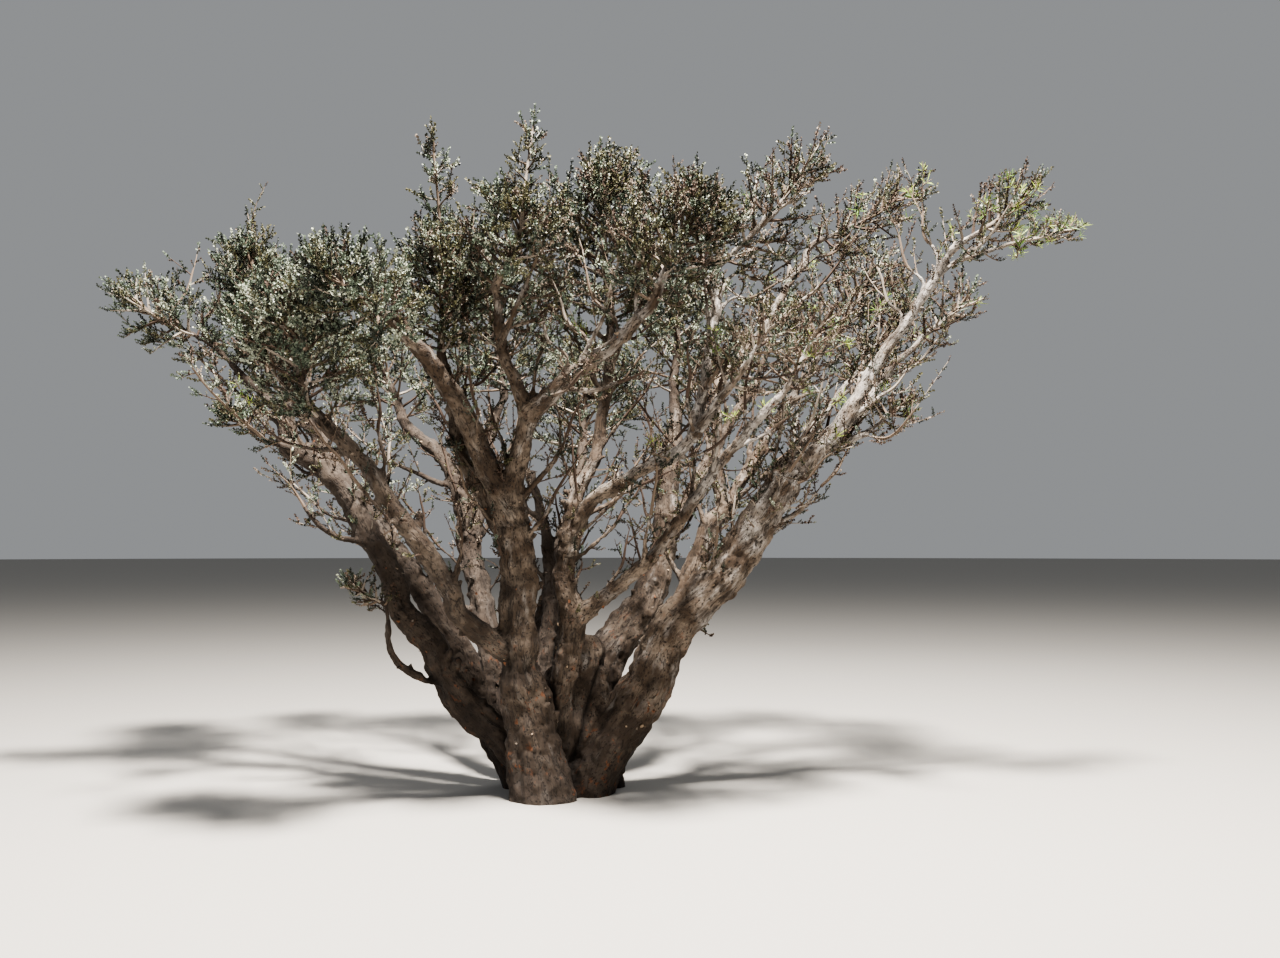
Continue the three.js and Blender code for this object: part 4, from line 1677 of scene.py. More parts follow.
    def _knot_heights(self, points: Array) -> Array:
        """Gives the height of the knots, each a swelling with a sunk eye.

        Args:
            points: the skin's points.

        Returns:
            The height at each point.
        """
        dice = Dice(self.seed)
        height = np.zeros(len(points))
        for _ in range(self.knots):
            course, end, _ = dice.choice(self.stout)
            along = end * dice.uniform(*self.knot_places)
            radius = float(course.radius(along))
            if radius < self.knot_least:
                continue
            side = turned_off(course.ahead(along), 90, dice.uniform(0, 360))
            middle = course.at(along) + side * radius
            size = radius * dice.uniform(*self.knot_sizes)
            apart = np.linalg.norm(points - middle, axis=1) / size
            near = apart < self.knot_reach
            eye = self.eye_depth * np.exp(-((apart[near] / self.eye_width) ** 2))
            swell = np.exp(-(apart[near] ** 2)) - eye
            height[near] += swell * size * dice.uniform(*self.knot_heights)
        return height

    def _part(self, mesh: Mesh, number: int, side: str, material: Material) -> Object:
        """Cuts one side's part out of the skin and closes it.

        Args:
            mesh: the whole skin.
            number: the side's number in the attribute side.
            side: its name.
            material: its finish.

        Returns:
            The piece.
        """
        bm = bmesh.new()
        bm.from_mesh(mesh)
        layer = bm.verts.layers.int["side"]
        away = [f for f in bm.faces if f.verts[0][layer] != number]
        bmesh.ops.delete(bm, geom=away, context="FACES")
        geometry = bm.verts[:] + bm.edges[:] + bm.faces[:]
        ground = {"plane_co": (0, 0, 0), "plane_no": (0, 0, 1)}
        bmesh.ops.bisect_plane(bm, geom=geometry, clear_inner=True, **ground)
        edges = [e for e in bm.edges if e.is_boundary]
        for edge in edges:
            edge.smooth = False
        bmesh.ops.holes_fill(bm, edges=edges, sides=0)
        bmesh.ops.recalc_face_normals(bm, faces=bm.faces[:])
        part = bpy.data.meshes.new("bark_" + side)
        bm.to_mesh(part)
        bm.free()
        part.materials.append(material)
        piece = shown("bark_" + side, part)
        names = [name for name, limb in LIMBS.items() if limb.side == side]
        kept(piece, names or ["trunk"])
        return piece

    def skin_at(self, course: Course, along: float, turn: float) -> tuple[Array, Array]:
        """Finds the skin on one side of a limb.

        Args:
            course: the limb's course.
            along: where on it.
            turn: on which side, in degrees.

        Returns:
            The point on the skin and the direction out of it.
        """
        out = turned_off(course.ahead(along), 90, turn)
        middle, radius = course.at(along), float(course.radius(along))
        start = middle + out * radius * self.ray
        place, normal, _, _ = self.tree.ray_cast(Vector(start), Vector(-out), radius * self.ray)
        if place is None:
            return middle + out * radius, out
        return np.array(place), unit(np.array(normal))


@dataclass(frozen=True)
class Habit:
    """How a dress grows: how many twigs for each of the source's, the sprigs' and shoots' spacing
    in metres, the share of shoots that are there at all, the weight of each tone and kind, and
    how far its inner sprigs reach, as a share of their usual length."""

    twigs: float
    sprig_step: float
    shoot_step: float
    leafed: float
    tones: dict[Tone, float]
    fresh: float = 0.0
    spurs: float = 0.0
    bark: Triple = (0.3, 0.4, 0.3)
    reach: float = 1.0


def dealt(*weights: float) -> dict[Tone, float]:
    """Returns the weight of each tone, in the order of Tone."""
    return dict(zip(Tone, weights))


GREEN = dealt(4.6, 2.2, 2.6, 3, 0.7)
DUSKY = dealt(2, 0.9, 4, 2.6, 1.8, 0.8)
MIXED = dealt(1.8, 0.9, 3, 2.2, 2.2, 1.2)
# The inner habit's tones: dried leaves, and no pale and many near-black ones, as painted shade
# inside the crown.
SHADED = dealt(0.6, 0, 2.4, 3, 3.2, 0.7)
BROWNED = dealt(1.4, 0.4, 2.8, 2, 3, 0.8)
PALE_BARK = (0.34, 0.4, 0.26)

OFFSHOOT_DRESS = {
    "middle": (Region.FRONT, Dress.OPEN),
    "left": (Region.LEFT, Dress.OPEN),
    "right": (Region.RIGHT, Dress.SPRIGGY),
    "back": (Region.BACK, Dress.OPEN),
}

HABITS = {
    Dress.FULL: Habit(4.8, 0.05, 0.0172, 0.98, GREEN),
    Dress.DENSE: Habit(5.0, 0.05, 0.0172, 0.98, DUSKY),
    Dress.LEAFY: Habit(4.2, 0.056, 0.018, 0.97, GREEN),
    # Inner sprigs are barer, and their dark tones and mostly brown twigs are painted shade inside
    # the crown.
    Dress.INNER: Habit(4.0, 0.09, 0.024, 0.85, SHADED, 0.0, 0.5, (0.02, 0.2, 0.78), reach=0.6),
    Dress.OPEN: Habit(3.8, 0.07, 0.021, 0.91, MIXED, fresh=0.015, spurs=0.3),
    Dress.SPRIGGY: Habit(3.6, 0.08, 0.022, 0.88, BROWNED, 0.07, 0.5, PALE_BARK),
    Dress.FRESH: Habit(3.6, 0.075, 0.022, 0.9, BROWNED, 0.36, 0.4, PALE_BARK),
}


@dataclass(frozen=True)
class Growth:
    """What grows in one place: its region, habit and dice, and a mass's place and space."""

    region: Region
    habit: Habit
    dice: Dice
    index: int = -1
    space: Space | None = None

    def wood(self) -> int:
        """Returns a twig's finish, by the habit's weights."""
        return self.dice.choices((0, 1, 2), self.habit.bark)[0]

    def tone(self) -> Tone:
        """Returns a tone, by the habit's weights."""
        return self.dice.choices(list(self.habit.tones), self.habit.tones.values())[0]


@dataclass(frozen=True)
class Kind:
    """A kind of twig: its thickest foot, its foot as a share of what it leaves, its tip, how it
    rises and strays, the share of it that is bare at its foot, and how strongly it rises."""

    thickest: float
    share: float
    tip: float
    rise: Pair
    stray: float
    bare: float
    lift: float = 1.0

    def arc(self, foot: Array, ahead: Array, length: float, girth: float, dice: Dice) -> Arc:
        """Bends one.

        Args:
            foot: where it springs.
            ahead: its direction there.
            length: its length.
            girth: the radius of what it leaves.
            dice: the seeded dice.

        Returns:
            Its line.
        """
        pull = UP * self.lift * dice.uniform(*self.rise) + stray(dice, self.stray)
        return Arc(foot, ahead, pull, length, (min(self.thickest, girth * self.share), self.tip))


TWIG = Kind(0.011, 0.8, 0.0032, (0.3, 1.3), 0.16, 0.25, lift=0.2)
SPRIG = Kind(0.0045, 0.85, 0.0022, (0.1, 0.5), 0.22, 0.12)
INNER_SPRIG = Kind(0.005, 0.8, 0.0022, (0.05, 0.45), 0.2, 0.15)
LIMB_SPRIG = Kind(0.0065, 0.35, 0.003, (0.1, 0.5), 0.25, 0.25)


@dataclass
class Shoots:
    """The shoots of one kind in one region: where each grows, and how."""

    roots: list[Array] = field(default_factory=list)
    frames: list[Array] = field(default_factory=list)
    sizes: list[float] = field(default_factory=list)
    slots: list[int] = field(default_factory=list)

    def add(self, root: Array, ahead: Array, bend: Array, size: float, slot: int) -> None:
        """Adds a shoot.

        Args:
            root: where it grows from.
            ahead: its direction.
            bend: the direction that it curves to.
            size: its length.
            slot: its finish.
        """
        side = bend - ahead * (bend @ ahead)
        side = unit(side) if side @ side > NEARLY_NOTHING else turned_off(ahead, 90, 0)
        self.roots.append(root)
        self.frames.append(np.column_stack([side, np.cross(ahead, side), ahead]))
        self.sizes.append(size)
        self.slots.append(slot)

    def lay_on(self, pile: Pile, stamps: list[Stamp], slot: int | None = None) -> None:
        """Lays every shoot on a pile, with the stamps in turn.

        Args:
            pile: the pile.
            stamps: the shapes that are taken in turn.
            slot: one finish for all, or each shoot's own.
        """
        if not self.roots:
            return
        roots, frames, sizes = map(np.array, (self.roots, self.frames, self.sizes))
        slots = np.array(self.slots) if slot is None else np.full(len(roots), slot)
        for number, stamp in enumerate(stamps):
            some = slice(number, None, len(stamps))
            if len(roots[some]):
                pile.copies(stamp, roots[some], frames[some], sizes[some], slots[some])


@dataclass
class ShootShapes:
    """The shapes that are copied: leafy shoots, dried spurs, fresh tufts, and their sticks.

    Sizes are shares of the shoot's length, and leans are in degrees. A leaf leans lean at the
    shoot's foot, and upright less at its tip, where it is smaller too.
    """

    variants: int = 6
    leaves: int = 12
    spur_leaves: int = 9
    spur_plump: float = 1.25
    most_plump: float = 1.2
    needles: int = 10
    needle_foot: float = 0.15
    needle_rise: float = 0.5
    needle_lean: Pair = (24, 88)
    needle_turns: Pair = (-20, 20)
    needle_length: Pair = (0.5, 0.95)
    needle_width: float = 0.05
    tuft_height: float = 0.6
    leaf_length: float = 0.26
    leaf_width: float = 0.195
    leaf_foot: float = 0.46
    fold: float = 0.6
    lean: float = 72
    upright: float = 40
    first_leaf: float = 0.6
    foot_size: float = 1.05
    tip_less: float = 0.25
    leans: Pair = (0.85, 1.1)
    turns: Pair = (-14, 14)
    lengths: Pair = (0.78, 1.15)
    widths: Pair = (0.85, 1.2)
    curl: float = 0.15
    core: float = 0.07
    stick_length: float = 0.92
    seed: int = 21

    def build(self) -> None:
        """Makes every stamp."""
        dice = Dice(self.seed)
        self.leafy = [self._leafy(dice, self.leaves, 1.0) for _ in range(self.variants)]
        self.spurs = [
            self._leafy(dice, self.spur_leaves, self.spur_plump) for _ in range(self.variants)
        ]
        self.tufts = [self._tuft(dice) for _ in range(self.variants)]
        self.sticks = [self._stick()]

    def _axis(self, share: float) -> Array:
        """Returns the shoot's own line at a share of its length."""
        return np.array([self.curl * share * share, 0.0, share])

    def _ahead(self, share: float) -> Array:
        """Returns the shoot's direction at a share of its length."""
        return unit(np.array([2 * self.curl * share, 0, 1.0]))

    def _leaf(
        self, bm: BMesh, root: Array, ahead: Array, length: float, width: float, dice: Dice
    ) -> None:
        """Adds a leaf: a kite of two faces, folded along its rib.

        Args:
            bm: the mesh that it goes into.
            root: its foot.
            ahead: its direction.
            length: its length.
            width: its width.
            dice: the seeded dice.
        """
        side = turned_off(ahead, 90, dice.uniform(0, 360))
        frame = np.eye(4)
        frame[:3, 0], frame[:3, 1] = ahead * length / 2, side * width / 2
        frame[:3, 2] = np.cross(ahead, side) * width / 2
        frame[:3, 3] = root + ahead * length * self.leaf_foot
        made = bmesh.ops.create_circle(
            bm, cap_ends=True, segments=4, radius=1.0, matrix=Matrix(frame.tolist())
        )
        face_up = Vector(frame[:3, 2])
        for vert in made["verts"]:
            vert.co += face_up * dice.uniform(-self.fold, self.fold)

    def _leafy(self, dice: Dice, count: int, plump: float) -> Stamp:
        """Makes a shoot with leaves round it, from its foot to its tip.

        Args:
            dice: the seeded dice.
            count: how many leaves.
            plump: how far they stand off, against the usual.

        Returns:
            The stamp, one unit long.
        """
        bm = bmesh.new()
        start = dice.uniform(0, 360)
        for k in range(count):
            share = (k + self.first_leaf) / count
            lean = (self.lean - self.upright * share) * dice.uniform(*self.leans)
            lean *= min(self.most_plump, plump)
            turn = start + k * GOLDEN_TURN + dice.uniform(*self.turns)
            out = turned_off(self._ahead(share), lean, turn)
            length = self.leaf_length * dice.uniform(*self.lengths)
            length *= self.foot_size - self.tip_less * share
            width = self.leaf_width * dice.uniform(*self.widths) * plump
            self._leaf(bm, self._axis(share * self.stick_length), out, length, width, dice)
        return Stamp.taken(bm)

    def _tuft(self, dice: Dice) -> Stamp:
        """Makes a tuft of narrow young leaves that stand round a shoot's end.

        Args:
            dice: the seeded dice.

        Returns:
            The stamp, one unit long.
        """
        bm = bmesh.new()
        for k in range(self.needles):
            share = self.needle_foot + self.needle_rise * k / self.needles
            lean = dice.uniform(*self.needle_lean)
            turn = k * GOLDEN_TURN + dice.uniform(*self.needle_turns)
            out = turned_off(self._ahead(share), lean, turn)
            length = dice.uniform(*self.needle_length)
            root = self._axis(share) * self.tuft_height
            self._leaf(bm, root, out, length, self.needle_width, dice)
        return Stamp.taken(bm)

    def _stick(self) -> Stamp:
        """Makes the stick in a shoot: a slim three-sided spike.

        Returns:
            The stamp, one unit long.
        """
        bm = bmesh.new()
        depth = self.stick_length
        bmesh.ops.create_cone(
            bm, cap_ends=False, segments=3, radius1=self.core, radius2=0.0, depth=depth
        )
        bmesh.ops.translate(bm, verts=bm.verts[:], vec=(0, 0, depth / 2))
        bmesh.ops.remove_doubles(bm, verts=bm.verts[:], dist=1e-5)
        for vert in bm.verts:
            vert.co.x += self.curl * vert.co.z**2
        return Stamp.taken(bm)


@dataclass
class Crown:
    """Everything that grows on from the limbs: twigs, sprigs, leafy shoots, spurs and tufts.

    Lengths are in metres and leans in degrees. What points down by more than a droop is left out
    now and then, so that the undersides are barer. An end is the twig that grows on from a tip.
    """

    skeleton: Skeleton
    bark: Bark
    shapes: ShootShapes
    least: int = 4
    twig_step: float = 0.33
    first: float = 0.16
    low_lean: float = 82
    high_lean: float = 36
    jitter: float = 12
    shrinks: tuple[float, ...] = (1, 0.85, 0.7, 0.55)
    reaches: Pair = (0.9, 0.99)
    end_girth: float = 0.003
    end_rise: float = 0.1
    end_reach: float = 0.9
    end_bare: float = 0.1
    leader_end: float = 0.8
    leader_tip: float = 0.006
    leader_share: float = 0.42
    overlap: float = 0.06
    bare_under: float = 0.35
    twig_droop: float = 0.1
    sprig_droop: float = 0.15
    sprig_lean: Pair = (24, 78)
    sprig_turn: float = 45
    sprig_length: Triple = (0.06, 0.29, 0.15)
    least_sprig: float = 0.04
    full_spread: float = 0.5
    past_skin: float = 1.02
    near_skin: float = 0.96
    twig_middle: float = 0.55
    twig_leafed: float = 0.22
    twig_bare: float = 0.3
    shoot_length: Pair = (0.042, 0.08)
    shoot_droop: float = 0.1
    shoot_sag: float = 0.6
    shoot_foot: float = 0.4
    shoot_bends: Pair = (0.7, 0.6)
    tip_size: float = 1.1
    shoot_lean: Pair = (28, 78)
    tip_lean: float = 8
    own_tone: float = 0.72
    fresh_foot: float = 2.2
    fresh_share: float = 0.62
    tuft_length: Pair = (0.05, 0.11)
    spur_sizes: Pair = (0.5, 0.85)
    inner_top: float = 2.6
    inner_reach: float = 1.3
    inner_first: float = 0.2
    inner_steps: float = 1.15
    inner_middle: float = 0.6
    inner_lean: Pair = (30, 65)
    inner_tip_lean: float = 10
    right_cluster_step: float = 0.05
    cluster_step: float = 0.075
    cluster_foot: float = 1.1
    sparse_top: float = 1.6
    sparse_share: float = 0.7
    cluster_leans: Pair = (0.1, 0.9)
    cluster_lengths: tuple[float, ...] = (0.02, 0.035, 0.05, 0.09, 0.16)
    cluster_sizes: Pair = (0.8, 1.2)
    leafed_clusters: float = 0.7
    sunk: float = 0.004
    seed: int = 11
    leafy: dict[Region, Shoots] = field(default_factory=dict)
    spurs: dict[Region, Shoots] = field(default_factory=dict)
    tufts: dict[Region, Shoots] = field(default_factory=dict)
    twigs: dict[Region, Pile] = field(default_factory=dict)

    def build(self) -> None:
        """Grows every mass, and the clusters on the bare limbs."""
        for region in Region:
            self.leafy[region], self.spurs[region] = Shoots(), Shoots()
            self.tufts[region], self.twigs[region] = Shoots(), Pile()
        self.fine, self.slim, self.stout = Rod(3, 3), Rod(4, 4), Rod(6, 8)
        for index, (name, mass) in enumerate(MASSES.items()):
            self._grow_mass(index, name, mass)
        self._grow_offshoots()
        self._grow_clusters()

    def _grow_mass(self, index: int, name: str, mass: Mass) -> None:
        """Grows one mass, and its leader where it has one.

        Args:
            index: its place in the table.
            name: its name.
            mass: its sizes.
        """
        space, *tops = self.skeleton.spaces[name]
        dice = Dice(self.seed + index)
        growth = Growth(mass.region, HABITS[mass.dress], dice, index, space)
        stalk = self.skeleton.stalks[name]
        start = stalk.length * max(0.0, stalk.share_over(self.bark.thinnest) - self.overlap)
        wood, pile = growth.wood(), self.twigs[mass.region]
        self.stout.lay_on(pile, stalk, start, stalk.length, wood)
        self._grow_stem(growth, stalk)
        for top in tops:
            end = top.foot + top.axis * top.reach * self.leader_end
            leader = Course([top.foot, end], (self.skeleton.stalk_tip, self.leader_tip), 0, 1)
            self.stout.lay_on(pile, leader, 0, leader.length, wood)
            self._grow_stem(replace(growth, space=top), leader, self.leader_share)

    def _grow_stem(self, growth: Growth, stem: Course, part: float = 1.0) -> None:
        """Grows twigs round a stem, and a sprig on from its tip.

        Args:
            growth: the mass's growth.
            stem: the stem's course.
            part: the share of the habit's twigs that grow; where few do, their lengths differ more.
        """
        dice, space = growth.dice, growth.space
        tip = stem.at(stem.length)
        room = space.exit(tip, space.axis)
        girth = (float(stem.radius(stem.length)), self.end_girth)
        end = Arc(tip, space.axis, UP * self.end_rise, room * self.end_reach, girth)
        self._dress_twig(growth, end, self.end_bare)
        twigs = self.least + round(space.reach / self.twig_step)
        count = round(twigs * growth.habit.twigs * part)
        start = dice.uniform(0, 360)
        shortest, longest = self.reaches
        for k in range(count):
            share = 1 - (k + 0.5) / count
            along = stem.length * (self.first + (1 - self.first) * share)
            lean = self.low_lean + (self.high_lean - self.low_lean) * share
            lean += self.jitter * dice.uniform(-1, 1)
            ahead = turned_off(stem.ahead(along), lean, start + k * GOLDEN_TURN)
            if ahead[2] < -self.twig_droop and dice.random() < self.bare_under:
                continue
            foot = stem.at(along)
            room = space.exit(foot, ahead) * dice.uniform(shortest * part, longest)
            whole = TWIG.arc(foot, ahead, room, float(stem.radius(along)), dice)
            for shrink in self.shrinks:
                twig = replace(whole, length=room * shrink)
                if self._fits(growth, twig):
                    self._dress_twig(growth, twig, TWIG.bare)
                    break

    def _fits(self, growth: Growth, twig: Arc) -> bool:
        """Tells whether a twig stays in its own mass's space, clear of every limb.

        Args:
            growth: the mass's growth.
            twig: the twig's line.

        Returns:
            True if it does.
        """
        skeleton = self.skeleton
        ends = (twig.at(twig.length * self.twig_middle), twig.at(twig.length))
        return growth.space.depth(ends[1]) <= 1 and all(
            skeleton.owns(growth.index, end) and skeleton.clear_of_limbs(end) for end in ends
        )

    def _lay(self, growth: Growth, rod: Rod, line: Course | Arc, start: float = 0.0) -> None:
        """Lays a rod along a line from a length to its end, in a finish by the habit's weights."""
        rod.lay_on(self.twigs[growth.region], line, start, line.length, growth.wood())

    def _dress_twig(self, growth: Growth, twig: Arc, bare: float) -> None:
        """Draws a twig and grows its sprigs.

        Args:
            growth: the mass's growth.
            twig: the twig's line.
            bare: the share of the twig that is bare at its foot.
        """
        dice, space = growth.dice, growth.space
        self._lay(growth, self.slim, twig)
        count = max(1, round(twig.length * (1 - bare) / growth.habit.sprig_step))
        start = dice.uniform(0, 360)
        for k in range(count):
            along = twig.length * (bare + (1 - bare) * (k + 0.5) / count)
            turn = start + k * GOLDEN_TURN + dice.uniform(-self.sprig_turn, self.sprig_turn)
            ahead = turned_off(twig.ahead(along), dice.uniform(*self.sprig_lean), turn)
            if ahead[2] < -self.sprig_droop and dice.random() < self.bare_under:
                continue
            foot = twig.at(along)
            want = dice.triangular(*self.sprig_length) * min(1.0, space.spread / self.full_spread)
            length = min(want, space.exit(foot, ahead) * self.near_skin)
            sprig = SPRIG.arc(foot, ahead, length, float(twig.radius(along)), dice)
            tip = sprig.at(length)
            inside = length >= self.least_sprig and space.depth(tip) <= self.past_skin
            if inside and self.skeleton.clear_of_limbs(tip):
                self._lay(growth, self.fine, sprig)
                self._leaf_sprig(growth, sprig, SPRIG.bare)
        self._leaf_sprig(growth, twig, max(self.twig_bare, 1 - self.twig_leafed / twig.length))

    def _leaf_sprig(self, growth: Growth, sprig: Arc, bare: float) -> None:
        """Sets shoots along a sprig, and one at its tip.

        Args:
            growth: what it grows by.
            sprig: the sprig's line.
            bare: the share of the sprig that is bare at its foot.
        """
        dice, habit, region = growth.dice, growth.habit, growth.region
        tone = growth.tone()
        fresh = dice.random() < habit.fresh and sprig.at(0)[2] > self.fresh_foot
        count = max(2, round(sprig.length * (1 - bare) / habit.shoot_step))
        start = dice.uniform(0, 360)
        upward, onward = self.shoot_bends
        for k in range(count + 1):
            last = k == count
            if not last and dice.random() > habit.leafed:
                continue
            share = 1.0 if last else bare + (1 - bare) * (k + self.shoot_foot) / count
            lean = self.tip_lean if last else dice.uniform(*self.shoot_lean)
            along = sprig.length * share
            ahead = turned_off(sprig.ahead(along), lean, start + k * GOLDEN_TURN)
            if ahead[2] < -self.shoot_droop:
                ahead = unit(ahead * (1, 1, -dice.uniform(0, self.shoot_sag)))
            size = dice.uniform(*self.shoot_length) * (self.tip_size if last else 1.0)
            own = tone if dice.random() < self.own_tone else growth.tone()
            bend = UP * upward + sprig.ahead(along) * onward
            root = sprig.at(along)
            if fresh and (last or share > self.fresh_share):
                tuft = dice.uniform(*self.tuft_length)
                self.tufts[region].add(root, ahead, bend, tuft, dice.randrange(len(FRESH_SKINS)))
            elif dice.random() < habit.spurs:
                dried = dice.choice((Tone.DRY, Tone.DUSTY, Tone.OLIVE))
                size *= dice.uniform(*self.spur_sizes)
                self.spurs[region].add(root, ahead, bend, size, dried.value)
            else:
                self.leafy[region].add(root, ahead, bend, size, own.value)

    def _growth_at(self, side: str, place: Array, dice: Dice) -> Growth:
        """Gives how sprigs grow on a limb: low in the middle of the crown they are barer, and their
        dark tones and twigs are painted shade.

        Args:
            side: the limb's side of the tree.
            place: where on it.
            dice: the seeded dice.

        Returns:
            The growth.
        """
        region, dress = OFFSHOOT_DRESS[side]
        middle = side != "right" and abs(place[0]) < self.inner_reach
        shaded = middle and place[2] < self.inner_top
        return Growth(region, HABITS[Dress.INNER if shaded else dress], dice)

    def _grow_offshoots(self) -> None:
        """Grows sprigs along the slim boughs inside the crown."""
        dice = Dice(self.seed + 300)
        for offshoot in self.skeleton.offshoots:
            course = offshoot.course
            middle = course.at(course.length * self.inner_middle)
            growth = self._growth_at(offshoot.side, middle, dice)
            share = course.share_over(self.bark.offshoot_end)
            fused = share > self.bark.least_share
            start = course.length * (max(0.0, share - self.overlap) if fused else 0.0)
            self._lay(growth, self.stout, course, start)
            leafed = 1 - self.inner_first
            step = growth.habit.sprig_step * self.inner_steps
            count = max(2, round(course.length * leafed / step))
            turn = dice.uniform(0, 360)
            for k in range(count + 1):
                last = k == count
                share = 1.0 if last else self.inner_first + leafed * (k + 0.5) / count
                along = course.length * share
                lean = self.inner_tip_lean if last else dice.uniform(*self.inner_lean)
                ahead = turned_off(course.ahead(along), lean, turn + k * GOLDEN_TURN)
                length = dice.triangular(*self.sprig_length) * growth.habit.reach
                girth = float(course.radius(along))
                sprig = INNER_SPRIG.arc(course.at(along), ahead, length, girth, dice)
                if self.skeleton.clear_of_limbs(sprig.at(length)):
                    self._lay(growth, self.fine, sprig)
                    self._leaf_sprig(growth, sprig, INNER_SPRIG.bare)

    def _grow_clusters(self) -> None:
        """Grows short leafy sprigs and spurs straight from the bare limbs."""
        dice = Dice(self.seed + 400)
        for name, limb in LIMBS.items():
            course = self.skeleton.courses[name]
            step = self.right_cluster_step if limb.side == "right" else self.cluster_step
            along = dice.expovariate(1 / step)
            while along <= course.length:
                place = course.at(along)
                sparse = place[2] < self.sparse_top or self.skeleton.bare(name, place)
                left_out = place[2] < self.cluster_foot
                if not left_out and not (sparse and dice.random() < self.sparse_share):
                    growth = self._growth_at(limb.side, place, dice)
                    self._grow_cluster(growth, course, along)
                along += dice.expovariate(1 / step)

    def _grow_cluster(self, growth: Growth, course: Course, along: float) -> None:
        """Grows one short sprig from a limb's skin.

        Args:
            growth: what it grows by.
            course: the limb's course.
            along: where on it.
        """
        dice = growth.dice
        skin, out = self.bark.skin_at(course, along, dice.uniform(0, 360))
        ahead = unit(out + course.ahead(along) * dice.uniform(*self.cluster_leans))
        length = dice.choice(self.cluster_lengths) * dice.uniform(*self.cluster_sizes)
        foot = skin - out * self.sunk
        sprig = LIMB_SPRIG.arc(foot, ahead, length, float(course.radius(along)), dice)
        self._lay(growth, self.fine, sprig)
        if length > self.least_sprig or dice.random() < self.leafed_clusters:
            self._leaf_sprig(growth, sprig, LIMB_SPRIG.bare)

    def dress(self) -> list[tuple[str, int]]:
        """Joins what grew into pieces, each kind apart.

        Returns:
            Each piece's name and triangles.
        """
        leaf_skins = [LEAF_SKINS[tone].material() for tone in Tone]
        fresh_skins = [skin.material() for skin in FRESH_SKINS]
        wood_skins = [skin.material() for skin in TWIG_SKINS]
        told = []
        fresh = Pile()
        for region in Region:
            leaves, spurs, twigs = Pile(), Pile(), self.twigs[region]
            self.leafy[region].lay_on(leaves, self.shapes.leafy)
            self.spurs[region].lay_on(spurs, self.shapes.spurs)
            self.tufts[region].lay_on(fresh, self.shapes.tufts)
            # The leafy shoots' sticks take the near-black tone, as painted shade in the gaps
            # between the leaves.
            self.leafy[region].lay_on(leaves, self.shapes.sticks, Tone.DEEP.value)
            self.spurs[region].lay_on(spurs, self.shapes.sticks, Tone.DRY.value)
            self.tufts[region].lay_on(twigs, self.shapes.sticks, 1)
            nodes = [name for name, mass in MASSES.items() if mass.region is region]
            for word, pile, skins, slot in (
                ("leaves", leaves, leaf_skins, "leaves"),
                ("spurs", spurs, leaf_skins, "leaves"),
                ("twigs", twigs, wood_skins, "bark"),
            ):
                if pile.triangles():
                    piece = pile.piece(f"{word}_{region.value}", skins)
                    kept(piece, nodes if word == "leaves" else [])
                    told.append((piece.name, pile.triangles()))
        piece = fresh.piece("fresh_tufts", fresh_skins)
        kept(piece, [])
        told.append((piece.name, fresh.triangles()))
        return told


@dataclass
class Peels:
    """Papery flakes of bark that stand off the limbs at one edge.

    A flake's widths, curl and narrowing towards its tip are shares of its length.
    """

    bark: Bark
    count: int = 420
    shapes: int = 5
    places: Pair = (0.02, 0.98)
    turns: Pair = (-50, 50)
    length: Pair = (0.012, 0.028)
    curls: Pair = (0.25, 0.7)
    widths: Pair = (0.5, 1.0)
    lengths: Pair = (0.88, 1.05)
    foot_width: float = 1.1
    narrowing: float = 0.5
    hollow: float = 0.5
    stout: float = 0.04
    least: float = 0.025
    foot: float = 0.3
    sunk: float = 0.0015
    seed: int = 77

    def build(self) -> tuple[str, int]:
        """Sets the flakes.

        Returns:
            The piece's name and triangles.
        """
        dice = Dice(self.seed)
        stamps = [self._flake(dice) for _ in range(self.shapes)]
        flakes = Shoots()
        thick = [limb for limb in self.bark.limbs if limb[0].girth[0] > self.stout]
        weights = [end * course.girth[0] for course, end, _ in thick]
        for _ in range(self.count):
            course, end, _ = dice.choices(thick, weights)[0]
            along = end * dice.uniform(*self.places)
            if course.at(along)[2] < self.foot or course.radius(along) < self.least:
                continue
            skin, out = self.bark.skin_at(course, along, dice.uniform(0, 360))
            if skin[2] < self.foot:
                continue
            ahead = course.ahead(along) * dice.choice((1, -1))
            flat = turned(unit(ahead - out * (ahead @ out)), out, dice.uniform(*self.turns))
            size, slot = dice.uniform(*self.length), dice.randrange(len(PEEL_SKINS))
            flakes.add(skin - out * self.sunk, flat, out, size, slot)
        pile = Pile()
        flakes.lay_on(pile, stamps)
        piece = pile.piece("papery_flakes", [skin.material() for skin in PEEL_SKINS])
        kept(piece, [])
        return piece.name, pile.triangles()

    def _flake(self, dice: Dice) -> Stamp:
        """Makes a flake: a small ragged sheet that curls up off the limb towards its tip.

        Args:
            dice: the seeded dice.

        Returns:
            The stamp, one unit long, that lies along Z and rises along X.
        """
        bm = bmesh.new()
        bmesh.ops.create_grid(bm, x_segments=2, y_segments=3, size=0.5)
        curl = dice.uniform(*self.curls)
        for vert in bm.verts:
            share = vert.co.y + 0.5
            width = self.foot_width - self.narrowing * share
            across = vert.co.x * dice.uniform(*self.widths) * width
            along = share * dice.uniform(*self.lengths)
            rise = curl * share * share - self.hollow * across * across
            vert.co = Vector((rise, across, along))
        return Stamp.taken(bm)


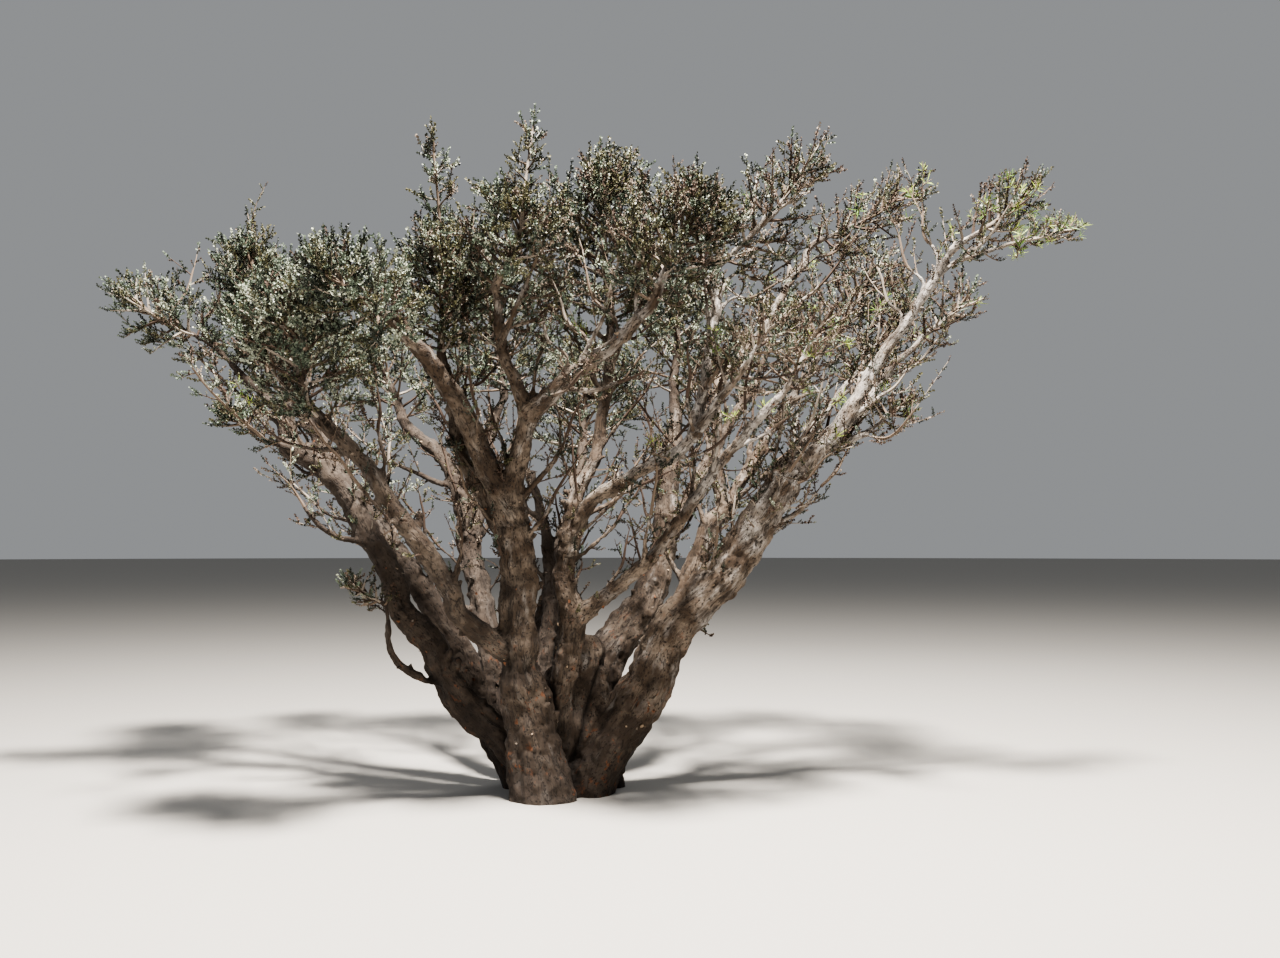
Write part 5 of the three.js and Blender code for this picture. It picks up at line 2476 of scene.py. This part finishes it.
@dataclass(frozen=True)
class Lamp:
    """A soft lamp: where it hangs, what it faces, its width, its watts and its sRGB colour."""

    name: str
    place: Triple
    target: Triple
    size: float
    power: float
    colour: str

    def hang(self) -> None:
        """Hangs the lamp."""
        light = bpy.data.lights.new(self.name, "AREA")
        light.size = self.size
        light.energy = self.power
        light.color = linear(self.colour)[:3]
        holder = bpy.data.objects.new(self.name, light)
        holder.location = self.place
        aim = Vector(self.target) - Vector(self.place)
        holder.rotation_euler = aim.to_track_quat("-Z", "Y").to_euler()
        bpy.context.scene.collection.objects.link(holder)


LAMPS = (
    Lamp("key_light", (1.2, -3.9, 12.4), (0, 0, 2.0), 1.4, 11000, "#fff8f0"),
    Lamp("left_light", (-8.5, -5.0, 5.5), (0, 0, 2.0), 5.0, 170, "#eef3ff"),
    Lamp("back_light", (2.0, 8.5, 7.5), (0, 0, 2.5), 4.0, 240, "#ffffff"),
)


@dataclass(frozen=True)
class Studio:
    """A pale floor, soft light and the camera at the photograph's viewing angle."""

    eye: Triple = (0.46, -8.2, 1.6)
    pitch: float = 3.04
    lens: float = 35.0
    sensor: float = 36.0
    sky: str = "#e9ecef"
    sky_strength: float = 0.33
    floor_size: float = 300.0
    floor_colour: str = "#a19e99"
    floor_roughness: float = 0.95

    def build(self) -> None:
        """Sets the floor, the lights and the camera."""
        self._floor()
        for lamp in LAMPS:
            lamp.hang()
        scene = bpy.context.scene
        scene.view_settings.look = "AgX - Medium High Contrast"
        world = bpy.data.worlds.new("pale_studio")
        scene.world = world
        world.use_nodes = True
        background = world.node_tree.nodes["Background"]
        background.inputs["Color"].default_value = linear(self.sky)
        background.inputs["Strength"].default_value = self.sky_strength
        lens = bpy.data.cameras.new("view")
        lens.lens = self.lens
        lens.sensor_width = self.sensor
        lens.sensor_fit = "HORIZONTAL"
        camera = bpy.data.objects.new("view", lens)
        camera.location = self.eye
        camera.rotation_euler = (math.radians(90 + self.pitch), 0, 0)
        scene.collection.objects.link(camera)
        scene.camera = camera

    def _floor(self) -> None:
        """Lays the floor."""
        bm = bmesh.new()
        bmesh.ops.create_circle(bm, cap_ends=True, segments=96, radius=self.floor_size / 2)
        mesh = bpy.data.meshes.new("floor")
        bm.to_mesh(mesh)
        bm.free()
        skin = PlainSkin("pale_floor", self.floor_colour, self.floor_roughness)
        mesh.materials.append(skin.material())
        shown("floor", mesh)


def main() -> None:
    """Builds the tree's looks and reports each piece."""
    logging.basicConfig(level=logging.INFO, format="%(name)s: %(message)s", force=True)
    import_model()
    Studio().build()
    skeleton = Skeleton()
    skeleton.build()
    bark = Bark(skeleton)
    for side, piece in bark.build(PeelingBark()).items():
        log.info("bark %s: %d faces", side, len(piece.data.polygons))
    shapes = ShootShapes()
    shapes.build()
    crown = Crown(skeleton, bark, shapes)
    crown.build()
    pieces = crown.dress()
    pieces.append(Peels(bark).build())
    for name, triangles in pieces:
        log.info("%s: %d triangles", name, triangles)
    log.info("%d triangles in all small pieces", sum(count for _, count in pieces))


if __name__ == "__main__":
    main()
